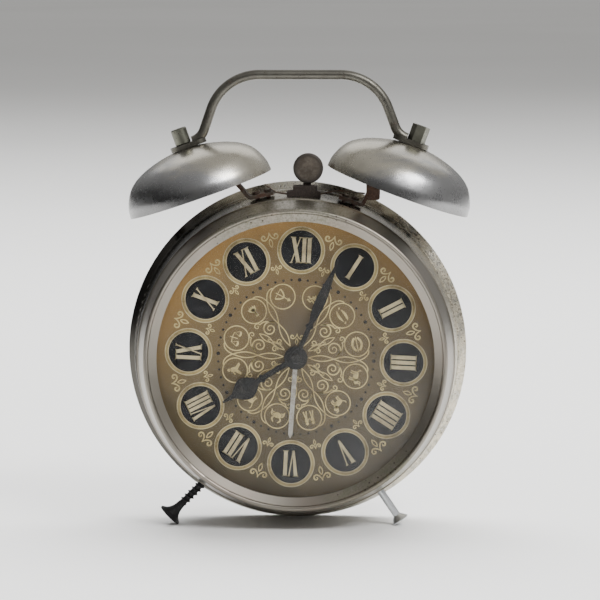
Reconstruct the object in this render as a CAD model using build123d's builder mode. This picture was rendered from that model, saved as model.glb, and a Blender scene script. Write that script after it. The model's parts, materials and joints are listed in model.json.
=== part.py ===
"""Twin-bell wind-up alarm clock, modelled in millimetres.

+X is to the right and +Z is up, seen from the front, and the dial faces -Y. The origin is the middle of
the object's footprint, on the surface that it stands on. Depth is counted backwards from the bezel's crest.
Sideways and upward places are counted from the dial's axis.
"""
import math
import os

from build123d import *

os.makedirs("parts", exist_ok=True)

# ---------------------------------------------------------------- driving dimensions
KEY_END = 52.0                # bezel crest to the end of the winding keys
RIM_RADIUS = 57.5             # flared rear rim of the case, which touches the table
AXIS_HEIGHT = RIM_RADIUS      # dial axis above the table

DIAL_FRONT = 10.0
DIAL_BACK = 10.6
DIAL_RADIUS = 49.4
DIAL_ROLL = 2.74              # the dial and its print sit a little clockwise in the case

BELL_DEPTH = 18.0
BELL_MID = 0.9                # the pair of bells and the handle sit slightly to the right
BELL_SPREAD = 33.0
BELL_RIM_HEIGHT = {-1: 54.2, 1: 55.4}    # left and right: the right bell sits a little higher
BELL_RADIUS = 25.0
BELL_RISE = 16.0
BELL_SHEET = 0.9
BELL_TILT = {-1: 19.3, 1: 20.2}
BELL_POST = 1.5               # radius of the screws that hold the bells and the handle
FRONT = -(KEY_END + BELL_DEPTH - BELL_RADIUS) / 2    # Y of the bezel's crest

HANDLE_WIRE = 1.65            # radius
HANDLE_TOP = 94.2
HANDLE_CORNER = 25.6          # where the legs' line meets the grip's, from the handle's middle
HANDLE_BEND = 17.0
HANDLE_FOOT_BEND = 6.0
STRAP_LENGTH = 12.4
STRAP_WIDTH = 6.0
STRAP_SHIFT = 1.5             # the strap reaches further inwards than outwards
STRAP_LOW = BELL_RISE + 0.05
STRAP_HIGH = STRAP_LOW + 1.6

PLATE_RADIUS = 41.0
PLATE_THICKNESS = 1.2
FRONT_PLATE = 15.4            # front face of the front movement plate
BACK_PLATE = 28.5             # front face of the back movement plate
BACK_END = BACK_PLATE + PLATE_THICKNESS
COVER_FRONT = 33.2
COVER_BACK = 34.2
COVER_RADIUS = 53.4
KNOB_FRONT = 36.2             # knobs stand clear of the back cover

RUNNING_GAP = 0.05            # radial clearance of a running fit
CLEAR_GAP = 0.35              # radial clearance of a loose hole

ADDENDUM = 0.8                # tooth height above the pitch circle, in modules
DEDENDUM = 1.25
TOOTH_ROOT = 0.25             # half tooth thickness as a part of the tooth pitch
TOOTH_MIDDLE = 0.20
TOOTH_TIP = 0.10
ROOT_SINK = 0.96              # teeth start a little inside the root circle

# hand angles, clockwise from the dial's twelve
MINUTE_ANGLE = 20.6
HOUR_ANGLE = 235.6
ALARM_ANGLE = 181.4

SLOT_LEFT, SLOT_RIGHT = -2.9, 5.8    # the hammer arm's slot in the case
SLOT_DEPTH = 2.6
RIVET = 0.75                  # radius of the rivets that hold the bell brackets
THROUGH = (Align.CENTER, Align.CENTER, Align.MIN)

# feet: two odd screws
FOOT_DEPTH = 14.5
LEFT_FOOT_TILT = 45.0
LEFT_FOOT_HEAD = 4.1
LEFT_FOOT_X = -42.9
RIGHT_FOOT_TILT = 34.0
RIGHT_FOOT_HEAD = 2.95
RIGHT_FOOT_X = 35.1
FOOT_HOLE = 1.9               # radius of the holes that the foot screws pass
LEFT_FOOT_LENGTH = 25.0
RIGHT_FOOT_LENGTH = 23.0


def polar(radius, angle):
    """Point at a radius and an angle in degrees, counter-clockwise from +X."""
    return (radius * math.cos(math.radians(angle)), radius * math.sin(math.radians(angle)))


def shifted(place, radius, angle):
    """A place moved by a radius in a direction."""
    step = polar(radius, angle)
    return (place[0] + step[0], place[1] + step[1])


def bearing(start, end):
    """Direction in degrees from one place to another."""
    return math.degrees(math.atan2(end[1] - start[1], end[0] - start[0]))


def facing(depth, place=(0, 0), turn=0):
    """Sketch plane at a depth, seen from the front, centred on a place and turned counter-clockwise."""
    across, up = polar(1, turn)
    origin = (place[0], FRONT + depth, AXIS_HEIGHT + place[1])
    return Plane(origin=origin, x_dir=(across, 0, up), z_dir=(0, -1, 0))


def turning(place=(0, 0)):
    """Profile plane of a turned piece: X is the depth and Y is the radius."""
    return Plane(origin=(place[0], FRONT, AXIS_HEIGHT + place[1]), x_dir=(0, 1, 0), z_dir=(1, 0, 0))


def spindle(place=(0, 0)):
    """Front-to-back axis through a place."""
    return Axis((place[0], FRONT, AXIS_HEIGHT + place[1]), (0, 1, 0))


def disc(front, back, radius, place=(0, 0), mode=Mode.ADD):
    """Round slab between two depths, in the part that is being built."""
    with Locations(facing(back, place)):
        Cylinder(radius, back - front, align=THROUGH, mode=mode)


def toothed(teeth, module, phase):
    """Outline of a spur gear with straight-flanked teeth, one of them at the phase angle."""
    pitch_radius = module * teeth / 2
    root = pitch_radius - DEDENDUM * module
    tip = pitch_radius + ADDENDUM * module
    step = math.tau * pitch_radius / teeth
    flank = [
        (root * ROOT_SINK, TOOTH_ROOT * step), (pitch_radius, TOOTH_MIDDLE * step), (tip, TOOTH_TIP * step),
    ]
    with BuildSketch(Plane.XY) as outline:
        Circle(root)
        with PolarLocations(0, teeth, start_angle=phase):
            Polygon(*flank, *[(x, -y) for x, y in reversed(flank)], align=None)
    return outline.sketch


def pointed(teeth, root, tip, lean):
    """Outline of a ratchet or escape wheel, whose tooth tips lean by an angle."""
    half = 0.8 * 180 / teeth
    base = root * ROOT_SINK
    with BuildSketch(Plane.XY) as outline:
        Circle(root)
        with PolarLocations(0, teeth):
            Polygon(polar(base, -half), polar(tip, lean), polar(base, half), align=None)
    return outline.sketch


def mesh_phase(phase, teeth, other_teeth, direction):
    """Phase of the gear that meshes with another one, lying in a direction from it."""
    part_of_step = (phase - direction) * teeth / 360 + 0.5
    return direction + 180 - 360 / other_teeth * part_of_step


def ribbon(inner, pitch, turns, thickness):
    """Outline of a spiral spring, made of half circles about two centres by turns."""
    with BuildSketch(Plane.XY) as outline:
        with BuildLine():
            for side in (thickness / 2, -thickness / 2):
                for turn in range(turns):
                    radius = inner + turn * pitch
                    CenterArc((0, 0), radius + side, 0, 180)
                    CenterArc((pitch / 2, 0), radius + pitch / 2 + side, 180, 180)
            for end in (inner, inner + turns * pitch):
                Line((end - thickness / 2, 0), (end + thickness / 2, 0))
        make_face()
    return outline.sketch


FEET = {
    "left": (LEFT_FOOT_TILT, LEFT_FOOT_HEAD, LEFT_FOOT_X, LEFT_FOOT_LENGTH),
    "right": (-RIGHT_FOOT_TILT, RIGHT_FOOT_HEAD, RIGHT_FOOT_X, RIGHT_FOOT_LENGTH),
}


def foot_plane(side):
    """Plane of a foot screw's head, with its normal along the screw into the case."""
    tilt, head, place, length = FEET[side]
    slope = math.radians(tilt)
    return Plane(
        origin=(place, FRONT + FOOT_DEPTH, head * abs(math.sin(slope))),
        x_dir=(0, 1, 0),
        z_dir=(math.sin(slope), 0, math.cos(slope)),
    )


def bell_plane(side):
    """Profile plane of a bell: X lies in its rim, and Y is its axis."""
    tilt = math.radians(-side * BELL_TILT[side])
    origin = (BELL_MID + side * BELL_SPREAD, FRONT + BELL_DEPTH, AXIS_HEIGHT + BELL_RIM_HEIGHT[side])
    return Plane(origin=origin, x_dir=(math.cos(tilt), 0, math.sin(tilt)), z_dir=(0, -1, 0))


def bell_place(side, inward, height):
    """Place of a point given in a bell's own frame, inward being towards the middle of the clock."""
    point = bell_plane(side).from_local_coords((-side * inward, height, 0))
    return (point.X, point.Z - AXIS_HEIGHT)


def bell_level(side, height):
    """Plane across a bell's axis, at a height over its rim."""
    frame = bell_plane(side)
    return Plane(origin=frame.from_local_coords((0, height, 0)), x_dir=frame.x_dir, z_dir=frame.y_dir)


def bell_disc(side, low, high, radius, mode=Mode.ADD):
    """Round slab on a bell's axis, in the part that is being built."""
    with Locations(bell_level(side, low)):
        Cylinder(radius, high - low, align=THROUGH, mode=mode)


def radial(angle, radius):
    """Plane across a radius of the case at the bells' depth, its normal outwards."""
    across, up = polar(1, angle)
    return Plane(
        origin=(radius * across, FRONT + BELL_DEPTH, AXIS_HEIGHT + radius * up),
        x_dir=(0, 1, 0),
        z_dir=(across, 0, up),
    )


# ---------------------------------------------------------------- the movement's layout
CENTRE = (0, 0)
GREAT_TEETH, GREAT_MODULE, CENTRE_PINION = 60, 0.6, 10
CENTRE_TEETH, CENTRE_MODULE, THIRD_PINION = 64, 0.45, 8
THIRD_TEETH, THIRD_MODULE, FOURTH_PINION = 60, 0.4, 8
FOURTH_TEETH, FOURTH_MODULE, ESCAPE_PINION = 56, 0.35, 8
ESCAPE_TEETH = 15
ESCAPE_RADIUS = 6.5
ALARM_TEETH, ALARM_MODULE, STAR_PINION = 48, 0.6, 8
STAR_RADIUS = 3.0
CANNON_TEETH, MINUTE_TEETH, MINUTE_MODULE = 12, 36, 0.5
MINUTE_PINION, HOUR_TEETH, HOUR_MODULE = 10, 40, 0.48
SET_TEETH, SET_MODULE = 36, 0.5

CENTRE_TO_TIME = 205.0        # directions between arbors, counter-clockwise from +X
CENTRE_TO_THIRD = -50.0
THIRD_TO_FOURTH = -110.0
FOURTH_TO_ESCAPE = -5.0
ALARM_TO_STAR = 112.0
CENTRE_TO_MINUTE = -55.0
CENTRE_TO_SET = 125.0

TIME_ARBOR = polar(GREAT_MODULE * (GREAT_TEETH + CENTRE_PINION) / 2, CENTRE_TO_TIME)
THIRD_ARBOR = polar(CENTRE_MODULE * (CENTRE_TEETH + THIRD_PINION) / 2, CENTRE_TO_THIRD)
FOURTH_ARBOR = shifted(THIRD_ARBOR, THIRD_MODULE * (THIRD_TEETH + FOURTH_PINION) / 2, THIRD_TO_FOURTH)
ESCAPE_ARBOR = shifted(FOURTH_ARBOR, FOURTH_MODULE * (FOURTH_TEETH + ESCAPE_PINION) / 2, FOURTH_TO_ESCAPE)
PALLET_ARBOR = shifted(ESCAPE_ARBOR, 8.6, 25)
LEVER_LENGTH = 10.5
BALANCE_STAFF = shifted(PALLET_ARBOR, LEVER_LENGTH, 80)
ALARM_ARBOR = (14.0, 17.0)
STAR_ARBOR = shifted(ALARM_ARBOR, ALARM_MODULE * (ALARM_TEETH + STAR_PINION) / 2, ALARM_TO_STAR)
HAMMER_ARBOR = (2.2, 36.5)
MINUTE_STUD = polar(MINUTE_MODULE * (CANNON_TEETH + MINUTE_TEETH) / 2, CENTRE_TO_MINUTE)
SET_ARBOR = polar(SET_MODULE * SET_TEETH, CENTRE_TO_SET)
STOP_ROD = (-5.5, 35.5)

PILLARS = [(31.0, 22.0), (-27.0, 27.0), (-22.0, -32.5), (36.0, 2.0)]
SPACERS = [polar(36, 150), polar(36, 262), polar(36, 18)]
DIAL_FEET = [polar(38.5, 95), polar(38.5, 215), polar(38.5, 335)]

ARBOR = 0.7                   # radius of the train arbors
THICK_ARBOR = 0.9             # radius of the hammer's and the alarm setting's arbors
STUD = 0.8
PILLAR_PIN = 1.0
CENTRE_POST = 0.75
WINDING_POST = 1.5
CANNON_PIPE = 1.4
HOUR_PIPE = 2.0
ALARM_PIPE = 2.6
REGULATOR_BOSS = 2.0
REGULATOR_REACH = 9.0
REGULATOR_SLOT = 1.4          # half width of the back cover's slot round the regulator's pin
REGULATOR_SWEEP = 35          # half angle of that slot
STOP_ROD_RADIUS = 1.2
COVER_SCREW = 1.0
HAMMER_HEAD = (3.9, 62.9)
HAMMER_RADIUS = 5.05
RIVET_HEAD = 1.3
RIVET_ANGLES = {-1: (100.0, 104.0), 1: (73.0, 69.5)}

TIME_SPRING_TURNS = 7
ALARM_SPRING_TURNS = 6
SPRING_INNER = 2.6
SPRING_PITCH = 1.6
SPRING_STRIP = 0.5
SPRING_FRONT, SPRING_BACK = 20.6, 27.2

# ---------------------------------------------------------------- case
with BuildPart() as case_drum:
    with BuildSketch(turning()):
        Polygon(
            (8.2, 51.4), (10.9, 51.4), (11.5, 53.1), (27.2, 54.75), (29.2, 55.2), (31.0, RIM_RADIUS),
            (33.2, RIM_RADIUS), (34.2, 56.2), (34.2, 53.8), (33.4, 53.8), (33.4, 55.7), (32.7, 56.6),
            (31.6, 56.6), (29.7, 54.4), (27.3, 53.95), (11.95, 52.35), (11.45, 51.0), (11.45, 47.5),
            (10.65, 47.5), (10.65, 50.6), (8.2, 50.6), align=None,
        )
        with Locations((26.0, 54.5)):
            Circle(0.85)
    revolve(axis=spindle())
    with BuildSketch(Plane.XY.offset(AXIS_HEIGHT + 50)):
        with Locations(((SLOT_LEFT + SLOT_RIGHT) / 2, FRONT + BELL_DEPTH)):
            Rectangle(SLOT_RIGHT - SLOT_LEFT, SLOT_DEPTH)
    extrude(amount=6, mode=Mode.SUBTRACT)
    for side, (tilt, head, place, length) in FEET.items():
        with Locations(foot_plane(side)):
            Cylinder(FOOT_HOLE, length, align=THROUGH, mode=Mode.SUBTRACT)
    for angles in RIVET_ANGLES.values():
        for angle in angles:
            with Locations(radial(angle, 50)):
                Cylinder(RIVET + RUNNING_GAP, 6, align=THROUGH, mode=Mode.SUBTRACT)
case_drum.part.label = "case_drum"
export_step(case_drum.part, "parts/case_drum.step")

with BuildPart() as bezel:
    with BuildSketch(turning()):
        with BuildLine():
            Polyline((0.7, 50.75), (9.4, 52.95), (9.8, 53.4), (11.0, 53.4), (11.0, 52.6), (10.2, 52.5),
                     (9.8, 52.15), (1.7, 50.05), (1.7, 49.3), (3.0, 46.6), (2.2, 46.3), (0.9, 49.0))
            ThreePointArc((0.9, 49.0), (0.0, 50.0), (0.7, 50.75))
        make_face()
    revolve(axis=spindle())
bezel.part.label = "bezel"
export_step(bezel.part, "parts/bezel.step")

with BuildPart() as crystal:
    disc(3.1, 4.3, 49.0)
    fillet(crystal.edges().sort_by(Axis.Y)[0], 0.4)
crystal.part.label = "crystal"
export_step(crystal.part, "parts/crystal.step")

with BuildPart() as sight_ring:
    disc(4.35, 9.95, 49.3)
    disc(4.35, 9.95, 47.4, mode=Mode.SUBTRACT)
sight_ring.part.label = "sight_ring"
export_step(sight_ring.part, "parts/sight_ring.step")

with BuildPart() as dial:
    disc(DIAL_FRONT, DIAL_BACK, DIAL_RADIUS)
    disc(DIAL_FRONT, DIAL_BACK, ALARM_PIPE + CLEAR_GAP, mode=Mode.SUBTRACT)
    for place in DIAL_FEET:    # copper feet soldered to the dial's back
        disc(DIAL_BACK, FRONT_PLATE + PLATE_THICKNESS, PILLAR_PIN, place)
        disc(DIAL_BACK, FRONT_PLATE, 1.8, place)
dial.part.label = "dial"
export_step(dial.part, "parts/dial.step")

with BuildPart() as back_cover:
    disc(COVER_FRONT, COVER_BACK, COVER_RADIUS)
    cover_holes = [(CENTRE, 1.6), (SET_ARBOR, 1.6), (TIME_ARBOR, 2.4), (ALARM_ARBOR, 2.4)]
    cover_holes += [(STOP_ROD, STOP_ROD_RADIUS + CLEAR_GAP)]
    cover_holes += [(spacer, COVER_SCREW + 0.3) for spacer in SPACERS]
    for place, radius in cover_holes:
        disc(COVER_FRONT, COVER_BACK, radius, place, mode=Mode.SUBTRACT)
    with BuildSketch(facing(COVER_BACK, BALANCE_STAFF)):
        with BuildLine():
            slot_edges = (REGULATOR_REACH - REGULATOR_SLOT, REGULATOR_REACH + REGULATOR_SLOT)
            for radius in slot_edges:
                CenterArc((0, 0), radius, -REGULATOR_SWEEP, 2 * REGULATOR_SWEEP)
            for angle in (-REGULATOR_SWEEP, REGULATOR_SWEEP):
                Line(polar(slot_edges[0], angle), polar(slot_edges[1], angle))
        make_face()
    extrude(amount=COVER_BACK - COVER_FRONT, mode=Mode.SUBTRACT)
    with BuildSketch(facing(COVER_BACK)):
        for row in range(4):
            with Locations((0, -49 + 3 * row)):
                SlotCenterToCenter(18 - 2 * row, 1.2)
    extrude(amount=COVER_BACK - COVER_FRONT, mode=Mode.SUBTRACT)
back_cover.part.label = "back_cover"
export_step(back_cover.part, "parts/back_cover.step")

with BuildPart() as cover_spacers:
    for place in SPACERS:
        disc(BACK_END, COVER_FRONT, 2.4, place)
        disc(BACK_END, COVER_FRONT, COVER_SCREW + RUNNING_GAP, place, mode=Mode.SUBTRACT)
cover_spacers.part.label = "cover_spacers"
export_step(cover_spacers.part, "parts/cover_spacers.step")

with BuildPart() as cover_screws:
    for place in SPACERS:
        disc(BACK_END + 0.4, COVER_BACK, COVER_SCREW, place)
        disc(COVER_BACK, COVER_BACK + 1.4, 2.2, place)
        with Locations(facing(COVER_BACK + 1.4, place)):
            Box(4.6, 0.6, 0.6, align=THROUGH, mode=Mode.SUBTRACT)
cover_screws.part.label = "cover_screws"
export_step(cover_screws.part, "parts/cover_screws.step")

# ---------------------------------------------------------------- feet and their threaded blocks
def foot_profile(side):
    """Plane through a foot screw's axis: X is the radius and Y runs up the screw."""
    frame = foot_plane(side)
    return Plane(origin=frame.origin, x_dir=(0, 1, 0), z_dir=Vector(0, 1, 0).cross(frame.z_dir))


RIGHT_FOOT_SHANK = 1.25
THREAD_START = 6.2
THREAD_PITCH = 1.7
THREAD_OUTER = 1.7
THREAD_CORE = 1.15
THREAD_TURNS = 9

with BuildPart() as foot_screw_left:
    with BuildSketch(foot_profile("left")):
        with BuildLine():
            Polyline((0, 0), (LEFT_FOOT_HEAD, 0), (LEFT_FOOT_HEAD, 0.5))
            Spline((LEFT_FOOT_HEAD, 0.5), (2.2, 2.2), (1.4, 5.0), tangents=((-1, 0.35), (0, 1)))
            Polyline((1.4, 5.0), (THREAD_CORE, THREAD_START), (THREAD_CORE, LEFT_FOOT_LENGTH - 2.5),
                     (0, LEFT_FOOT_LENGTH), (0, 0))
        make_face()
        for turn in range(THREAD_TURNS):
            height = THREAD_START + THREAD_PITCH * (turn + 0.5)
            sunk = THREAD_CORE - 0.1
            Polygon((sunk, height - 0.5), (THREAD_OUTER, height), (sunk, height + 0.5), align=None)
    revolve(axis=Axis(foot_plane("left").origin, foot_plane("left").z_dir))
    with Locations(foot_plane("left")):
        Box(4.4, 0.9, 2.0, mode=Mode.SUBTRACT)
        Box(0.9, 4.4, 2.0, mode=Mode.SUBTRACT)
foot_screw_left.part.label = "foot_screw_left"
export_step(foot_screw_left.part, "parts/foot_screw_left.step")

with BuildPart() as foot_screw_right:
    with BuildSketch(foot_profile("right")):
        Polygon(
            (0, 0), (RIGHT_FOOT_HEAD, 0), (RIGHT_FOOT_HEAD, 0.3), (RIGHT_FOOT_SHANK, 2.2),
            (RIGHT_FOOT_SHANK, RIGHT_FOOT_LENGTH - 1), (0.6, RIGHT_FOOT_LENGTH), (0, RIGHT_FOOT_LENGTH),
            align=None,
        )
    revolve(axis=Axis(foot_plane("right").origin, foot_plane("right").z_dir))
    with Locations(foot_plane("right")):
        Box(4.6, 0.8, 1.6, mode=Mode.SUBTRACT)
foot_screw_right.part.label = "foot_screw_right"
export_step(foot_screw_right.part, "parts/foot_screw_right.step")

with BuildPart() as foot_blocks:
    for side, start in (("left", 17.6), ("right", 14.0)):
        frame = foot_plane(side)
        with Locations(frame.offset(start)):
            Box(5.0, 7.0, 5.0, align=THROUGH)
            Cylinder(FOOT_HOLE, 12, mode=Mode.SUBTRACT)
    with Locations(facing(FOOT_DEPTH + 5)):
        Cylinder(52.0, 10, align=THROUGH, mode=Mode.INTERSECT)
foot_blocks.part.label = "foot_blocks"
export_step(foot_blocks.part, "parts/foot_blocks.step")

# ---------------------------------------------------------------- movement plates
SPRING_POST = 0.9
POST_OFFSET = SPRING_INNER + SPRING_STRIP / 2 + SPRING_POST
TIME_POST = shifted(TIME_ARBOR, TIME_SPRING_TURNS * SPRING_PITCH + POST_OFFSET, 180)
ALARM_POST = shifted(ALARM_ARBOR, ALARM_SPRING_TURNS * SPRING_PITCH + POST_OFFSET, 0)
BEARINGS = [
    (CENTRE, CENTRE_POST), (THIRD_ARBOR, ARBOR), (FOURTH_ARBOR, ARBOR), (ESCAPE_ARBOR, ARBOR),
    (PALLET_ARBOR, ARBOR), (BALANCE_STAFF, ARBOR), (STAR_ARBOR, ARBOR), (HAMMER_ARBOR, THICK_ARBOR),
    (SET_ARBOR, THICK_ARBOR), (TIME_ARBOR, WINDING_POST), (ALARM_ARBOR, WINDING_POST),
]

with BuildPart() as front_plate:
    disc(FRONT_PLATE, FRONT_PLATE + PLATE_THICKNESS, PLATE_RADIUS)
    for place, radius in BEARINGS:
        disc(FRONT_PLATE, FRONT_PLATE + PLATE_THICKNESS, radius + RUNNING_GAP, place, mode=Mode.SUBTRACT)
    for place in PILLARS + DIAL_FEET:
        disc(FRONT_PLATE, FRONT_PLATE + PLATE_THICKNESS, PILLAR_PIN, place, mode=Mode.SUBTRACT)
    disc(11.9, FRONT_PLATE, STUD, MINUTE_STUD)
front_plate.part.label = "front_plate"
export_step(front_plate.part, "parts/front_plate.step")

with BuildPart() as back_plate:
    disc(BACK_PLATE, BACK_END, PLATE_RADIUS)
    for place in (TIME_POST, ALARM_POST):
        disc(SPRING_FRONT - 0.4, BACK_PLATE, SPRING_POST, place)
    disc(BACK_PLATE, BACK_END + 1.1, REGULATOR_BOSS, BALANCE_STAFF)
    for place, radius in BEARINGS:
        disc(BACK_PLATE, BACK_END + 1.1, radius + RUNNING_GAP, place, mode=Mode.SUBTRACT)
    disc(BACK_PLATE, BACK_END, STOP_ROD_RADIUS + RUNNING_GAP, STOP_ROD, mode=Mode.SUBTRACT)
    for place in PILLARS:
        disc(BACK_PLATE, BACK_END, PILLAR_PIN, place, mode=Mode.SUBTRACT)
back_plate.part.label = "back_plate"
export_step(back_plate.part, "parts/back_plate.step")

with BuildPart() as pillars:
    for place in PILLARS:
        disc(FRONT_PLATE - 0.8, BACK_END + 0.8, PILLAR_PIN, place)
        disc(FRONT_PLATE + PLATE_THICKNESS, BACK_PLATE, 2.0, place)
        disc(FRONT_PLATE - 0.8, FRONT_PLATE, 1.7, place)
        disc(BACK_END, BACK_END + 0.8, 1.7, place)
pillars.part.label = "pillars"
export_step(pillars.part, "parts/pillars.step")

# ---------------------------------------------------------------- springs that stay with the case
for label, place, turns, angle in (
    ("time_mainspring", TIME_ARBOR, TIME_SPRING_TURNS, 180),
    ("alarm_mainspring", ALARM_ARBOR, ALARM_SPRING_TURNS, 0),
):
    with BuildPart() as mainspring:
        with BuildSketch(facing(SPRING_BACK, place, angle)):
            add(ribbon(SPRING_INNER, SPRING_PITCH, turns, SPRING_STRIP))
        extrude(amount=SPRING_BACK - SPRING_FRONT)
    mainspring.part.label = label
    export_step(mainspring.part, f"parts/{label}.step")

HAIRSPRING_INNER = 1.6
HAIRSPRING_PITCH = 0.7
HAIRSPRING_TURNS = 6
HAIRSPRING_END = HAIRSPRING_INNER + HAIRSPRING_TURNS * HAIRSPRING_PITCH
with BuildPart() as hairspring:
    with BuildSketch(facing(19.2, BALANCE_STAFF)):
        add(ribbon(HAIRSPRING_INNER, HAIRSPRING_PITCH, HAIRSPRING_TURNS, 0.2))
    extrude(amount=0.6)
    disc(FRONT_PLATE + PLATE_THICKNESS, 19.2, 0.5, shifted(BALANCE_STAFF, HAIRSPRING_END, 0))
hairspring.part.label = "hairspring"
export_step(hairspring.part, "parts/hairspring.step")

# ---------------------------------------------------------------- hands and motion work


def hand_plane(depth, angle):
    """Sketch plane of a hand, its Y along the hand, for an angle clockwise from the dial's twelve."""
    return facing(depth, CENTRE, -(angle + DIAL_ROLL))


MINUTE_HAND = (6.6, 7.0)      # front and back depths of each hand
HOUR_HAND = (7.8, 8.2)
ALARM_HAND = (9.0, 9.3)

with BuildPart() as minute_hand:
    with BuildSketch(hand_plane(MINUTE_HAND[1], MINUTE_ANGLE)):
        with BuildLine():
            Polyline((0, 0), (0.8, 0), (0.8, 10.8), (1.5, 11.6), (0.8, 12.6), (0.8, 13.4))
            Spline((0.8, 13.4), (1.75, 19.5), (1.1, 28.0), (0.2, 36.0))
            Line((0.2, 36.0), (0, 36.0))
            mirror(about=Plane.YZ)
        make_face()
        Circle(3.0)
        Circle(CENTRE_POST + 0.01, mode=Mode.SUBTRACT)
    extrude(amount=MINUTE_HAND[1] - MINUTE_HAND[0])
minute_hand.part.label = "minute_hand"
export_step(minute_hand.part, "parts/minute_hand.step")

with BuildPart() as hour_hand:
    with BuildSketch(hand_plane(HOUR_HAND[1], HOUR_ANGLE)):
        with BuildLine():
            Polyline((0, 0), (0.9, 0), (0.9, 12.6), (1.6, 13.3), (0.9, 14.2), (0.9, 15.2))
            Spline((0.9, 15.2), (3.2, 17.8), (3.8, 20.3), (2.4, 22.9), (0.8, 24.8))
            Polyline((0.8, 24.8), (0.3, 28.8), (0, 28.8))
            mirror(about=Plane.YZ)
        make_face()
        Circle(3.9)
        Circle(HOUR_PIPE + 0.01, mode=Mode.SUBTRACT)
    extrude(amount=HOUR_HAND[1] - HOUR_HAND[0])
hour_hand.part.label = "hour_hand"
export_step(hour_hand.part, "parts/hour_hand.step")

with BuildPart() as alarm_hand:
    with BuildSketch(hand_plane(ALARM_HAND[1], ALARM_ANGLE)):
        Polygon((-0.75, 0), (-0.75, 26.0), (0, 27.5), (0.75, 26.0), (0.75, 0), align=None)
        Circle(3.6)
        Circle(ALARM_PIPE + 0.01, mode=Mode.SUBTRACT)
    extrude(amount=ALARM_HAND[1] - ALARM_HAND[0])
alarm_hand.part.label = "alarm_hand"
export_step(alarm_hand.part, "parts/alarm_hand.step")

with BuildPart() as hand_cap:
    disc(5.5, MINUTE_HAND[0], 1.7)
    fillet(hand_cap.edges().sort_by(Axis.Y)[0], 0.5)
hand_cap.part.label = "hand_cap"
export_step(hand_cap.part, "parts/hand_cap.step")

with BuildPart() as centre_arbor:
    disc(MINUTE_HAND[0], 41.0, CENTRE_POST)
centre_arbor.part.label = "centre_arbor"
export_step(centre_arbor.part, "parts/centre_arbor.step")

CANNON_PHASE = 0.0
MINUTE_PHASE = mesh_phase(CANNON_PHASE, CANNON_TEETH, MINUTE_TEETH, CENTRE_TO_MINUTE)
HOUR_PHASE = 0.0
MINUTE_PINION_PHASE = mesh_phase(HOUR_PHASE, HOUR_TEETH, MINUTE_PINION, CENTRE_TO_MINUTE)

with BuildPart() as cannon_pinion:
    disc(MINUTE_HAND[1], 14.6, CANNON_PIPE)
    with BuildSketch(facing(14.2)):
        add(toothed(CANNON_TEETH, MINUTE_MODULE, CANNON_PHASE))
    extrude(amount=1.0)
    disc(MINUTE_HAND[1], 14.6, CENTRE_POST + 0.01, mode=Mode.SUBTRACT)
cannon_pinion.part.label = "cannon_pinion"
export_step(cannon_pinion.part, "parts/cannon_pinion.step")

with BuildPart() as minute_wheel:
    with BuildSketch(facing(14.0, MINUTE_STUD)):
        add(toothed(MINUTE_TEETH, MINUTE_MODULE, MINUTE_PHASE))
        with PolarLocations(5.6, 5):
            Circle(1.7, mode=Mode.SUBTRACT)
    extrude(amount=0.6)
    with BuildSketch(facing(13.4, MINUTE_STUD)):
        add(toothed(MINUTE_PINION, HOUR_MODULE, MINUTE_PINION_PHASE))
    extrude(amount=1.4)
    disc(12.0, 14.0, STUD + RUNNING_GAP, MINUTE_STUD, mode=Mode.SUBTRACT)
minute_wheel.part.label = "minute_wheel"
export_step(minute_wheel.part, "parts/minute_wheel.step")

with BuildPart() as hour_wheel:
    with BuildSketch(facing(12.8)):
        add(toothed(HOUR_TEETH, HOUR_MODULE, HOUR_PHASE))
        with PolarLocations(6.2, 5):
            Circle(1.8, mode=Mode.SUBTRACT)
    extrude(amount=0.6)
    disc(HOUR_HAND[0], 12.8, HOUR_PIPE)
    disc(HOUR_HAND[0], 12.8, CANNON_PIPE + RUNNING_GAP, mode=Mode.SUBTRACT)
hour_wheel.part.label = "hour_wheel"
export_step(hour_wheel.part, "parts/hour_wheel.step")

SET_PHASE = mesh_phase(0.0, SET_TEETH, SET_TEETH, CENTRE_TO_SET)
with BuildPart() as alarm_hand_wheel:
    with BuildSketch(facing(11.7)):
        add(toothed(SET_TEETH, SET_MODULE, 0.0))
        with PolarLocations(5.8, 5):
            Circle(1.6, mode=Mode.SUBTRACT)
    extrude(amount=0.6)
    disc(ALARM_HAND[0], 11.7, ALARM_PIPE)
    disc(ALARM_HAND[0], 11.7, HOUR_PIPE + RUNNING_GAP, mode=Mode.SUBTRACT)
alarm_hand_wheel.part.label = "alarm_hand_wheel"
export_step(alarm_hand_wheel.part, "parts/alarm_hand_wheel.step")

with BuildPart() as alarm_set_arbor:
    with BuildSketch(facing(11.7, SET_ARBOR)):
        add(toothed(SET_TEETH, SET_MODULE, SET_PHASE))
    extrude(amount=0.6)
    disc(11.7, 13.0, 1.8, SET_ARBOR)
    disc(11.1, 40.0, THICK_ARBOR, SET_ARBOR)
alarm_set_arbor.part.label = "alarm_set_arbor"
export_step(alarm_set_arbor.part, "parts/alarm_set_arbor.step")

# ---------------------------------------------------------------- going train
GREAT_PHASE = 0.0
CENTRE_PINION_PHASE = mesh_phase(GREAT_PHASE, GREAT_TEETH, CENTRE_PINION, CENTRE_TO_TIME + 180)
THIRD_PINION_PHASE = mesh_phase(0.0, CENTRE_TEETH, THIRD_PINION, CENTRE_TO_THIRD)
FOURTH_PINION_PHASE = mesh_phase(0.0, THIRD_TEETH, FOURTH_PINION, THIRD_TO_FOURTH)
ESCAPE_PINION_PHASE = mesh_phase(0.0, FOURTH_TEETH, ESCAPE_PINION, FOURTH_TO_ESCAPE)

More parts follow.
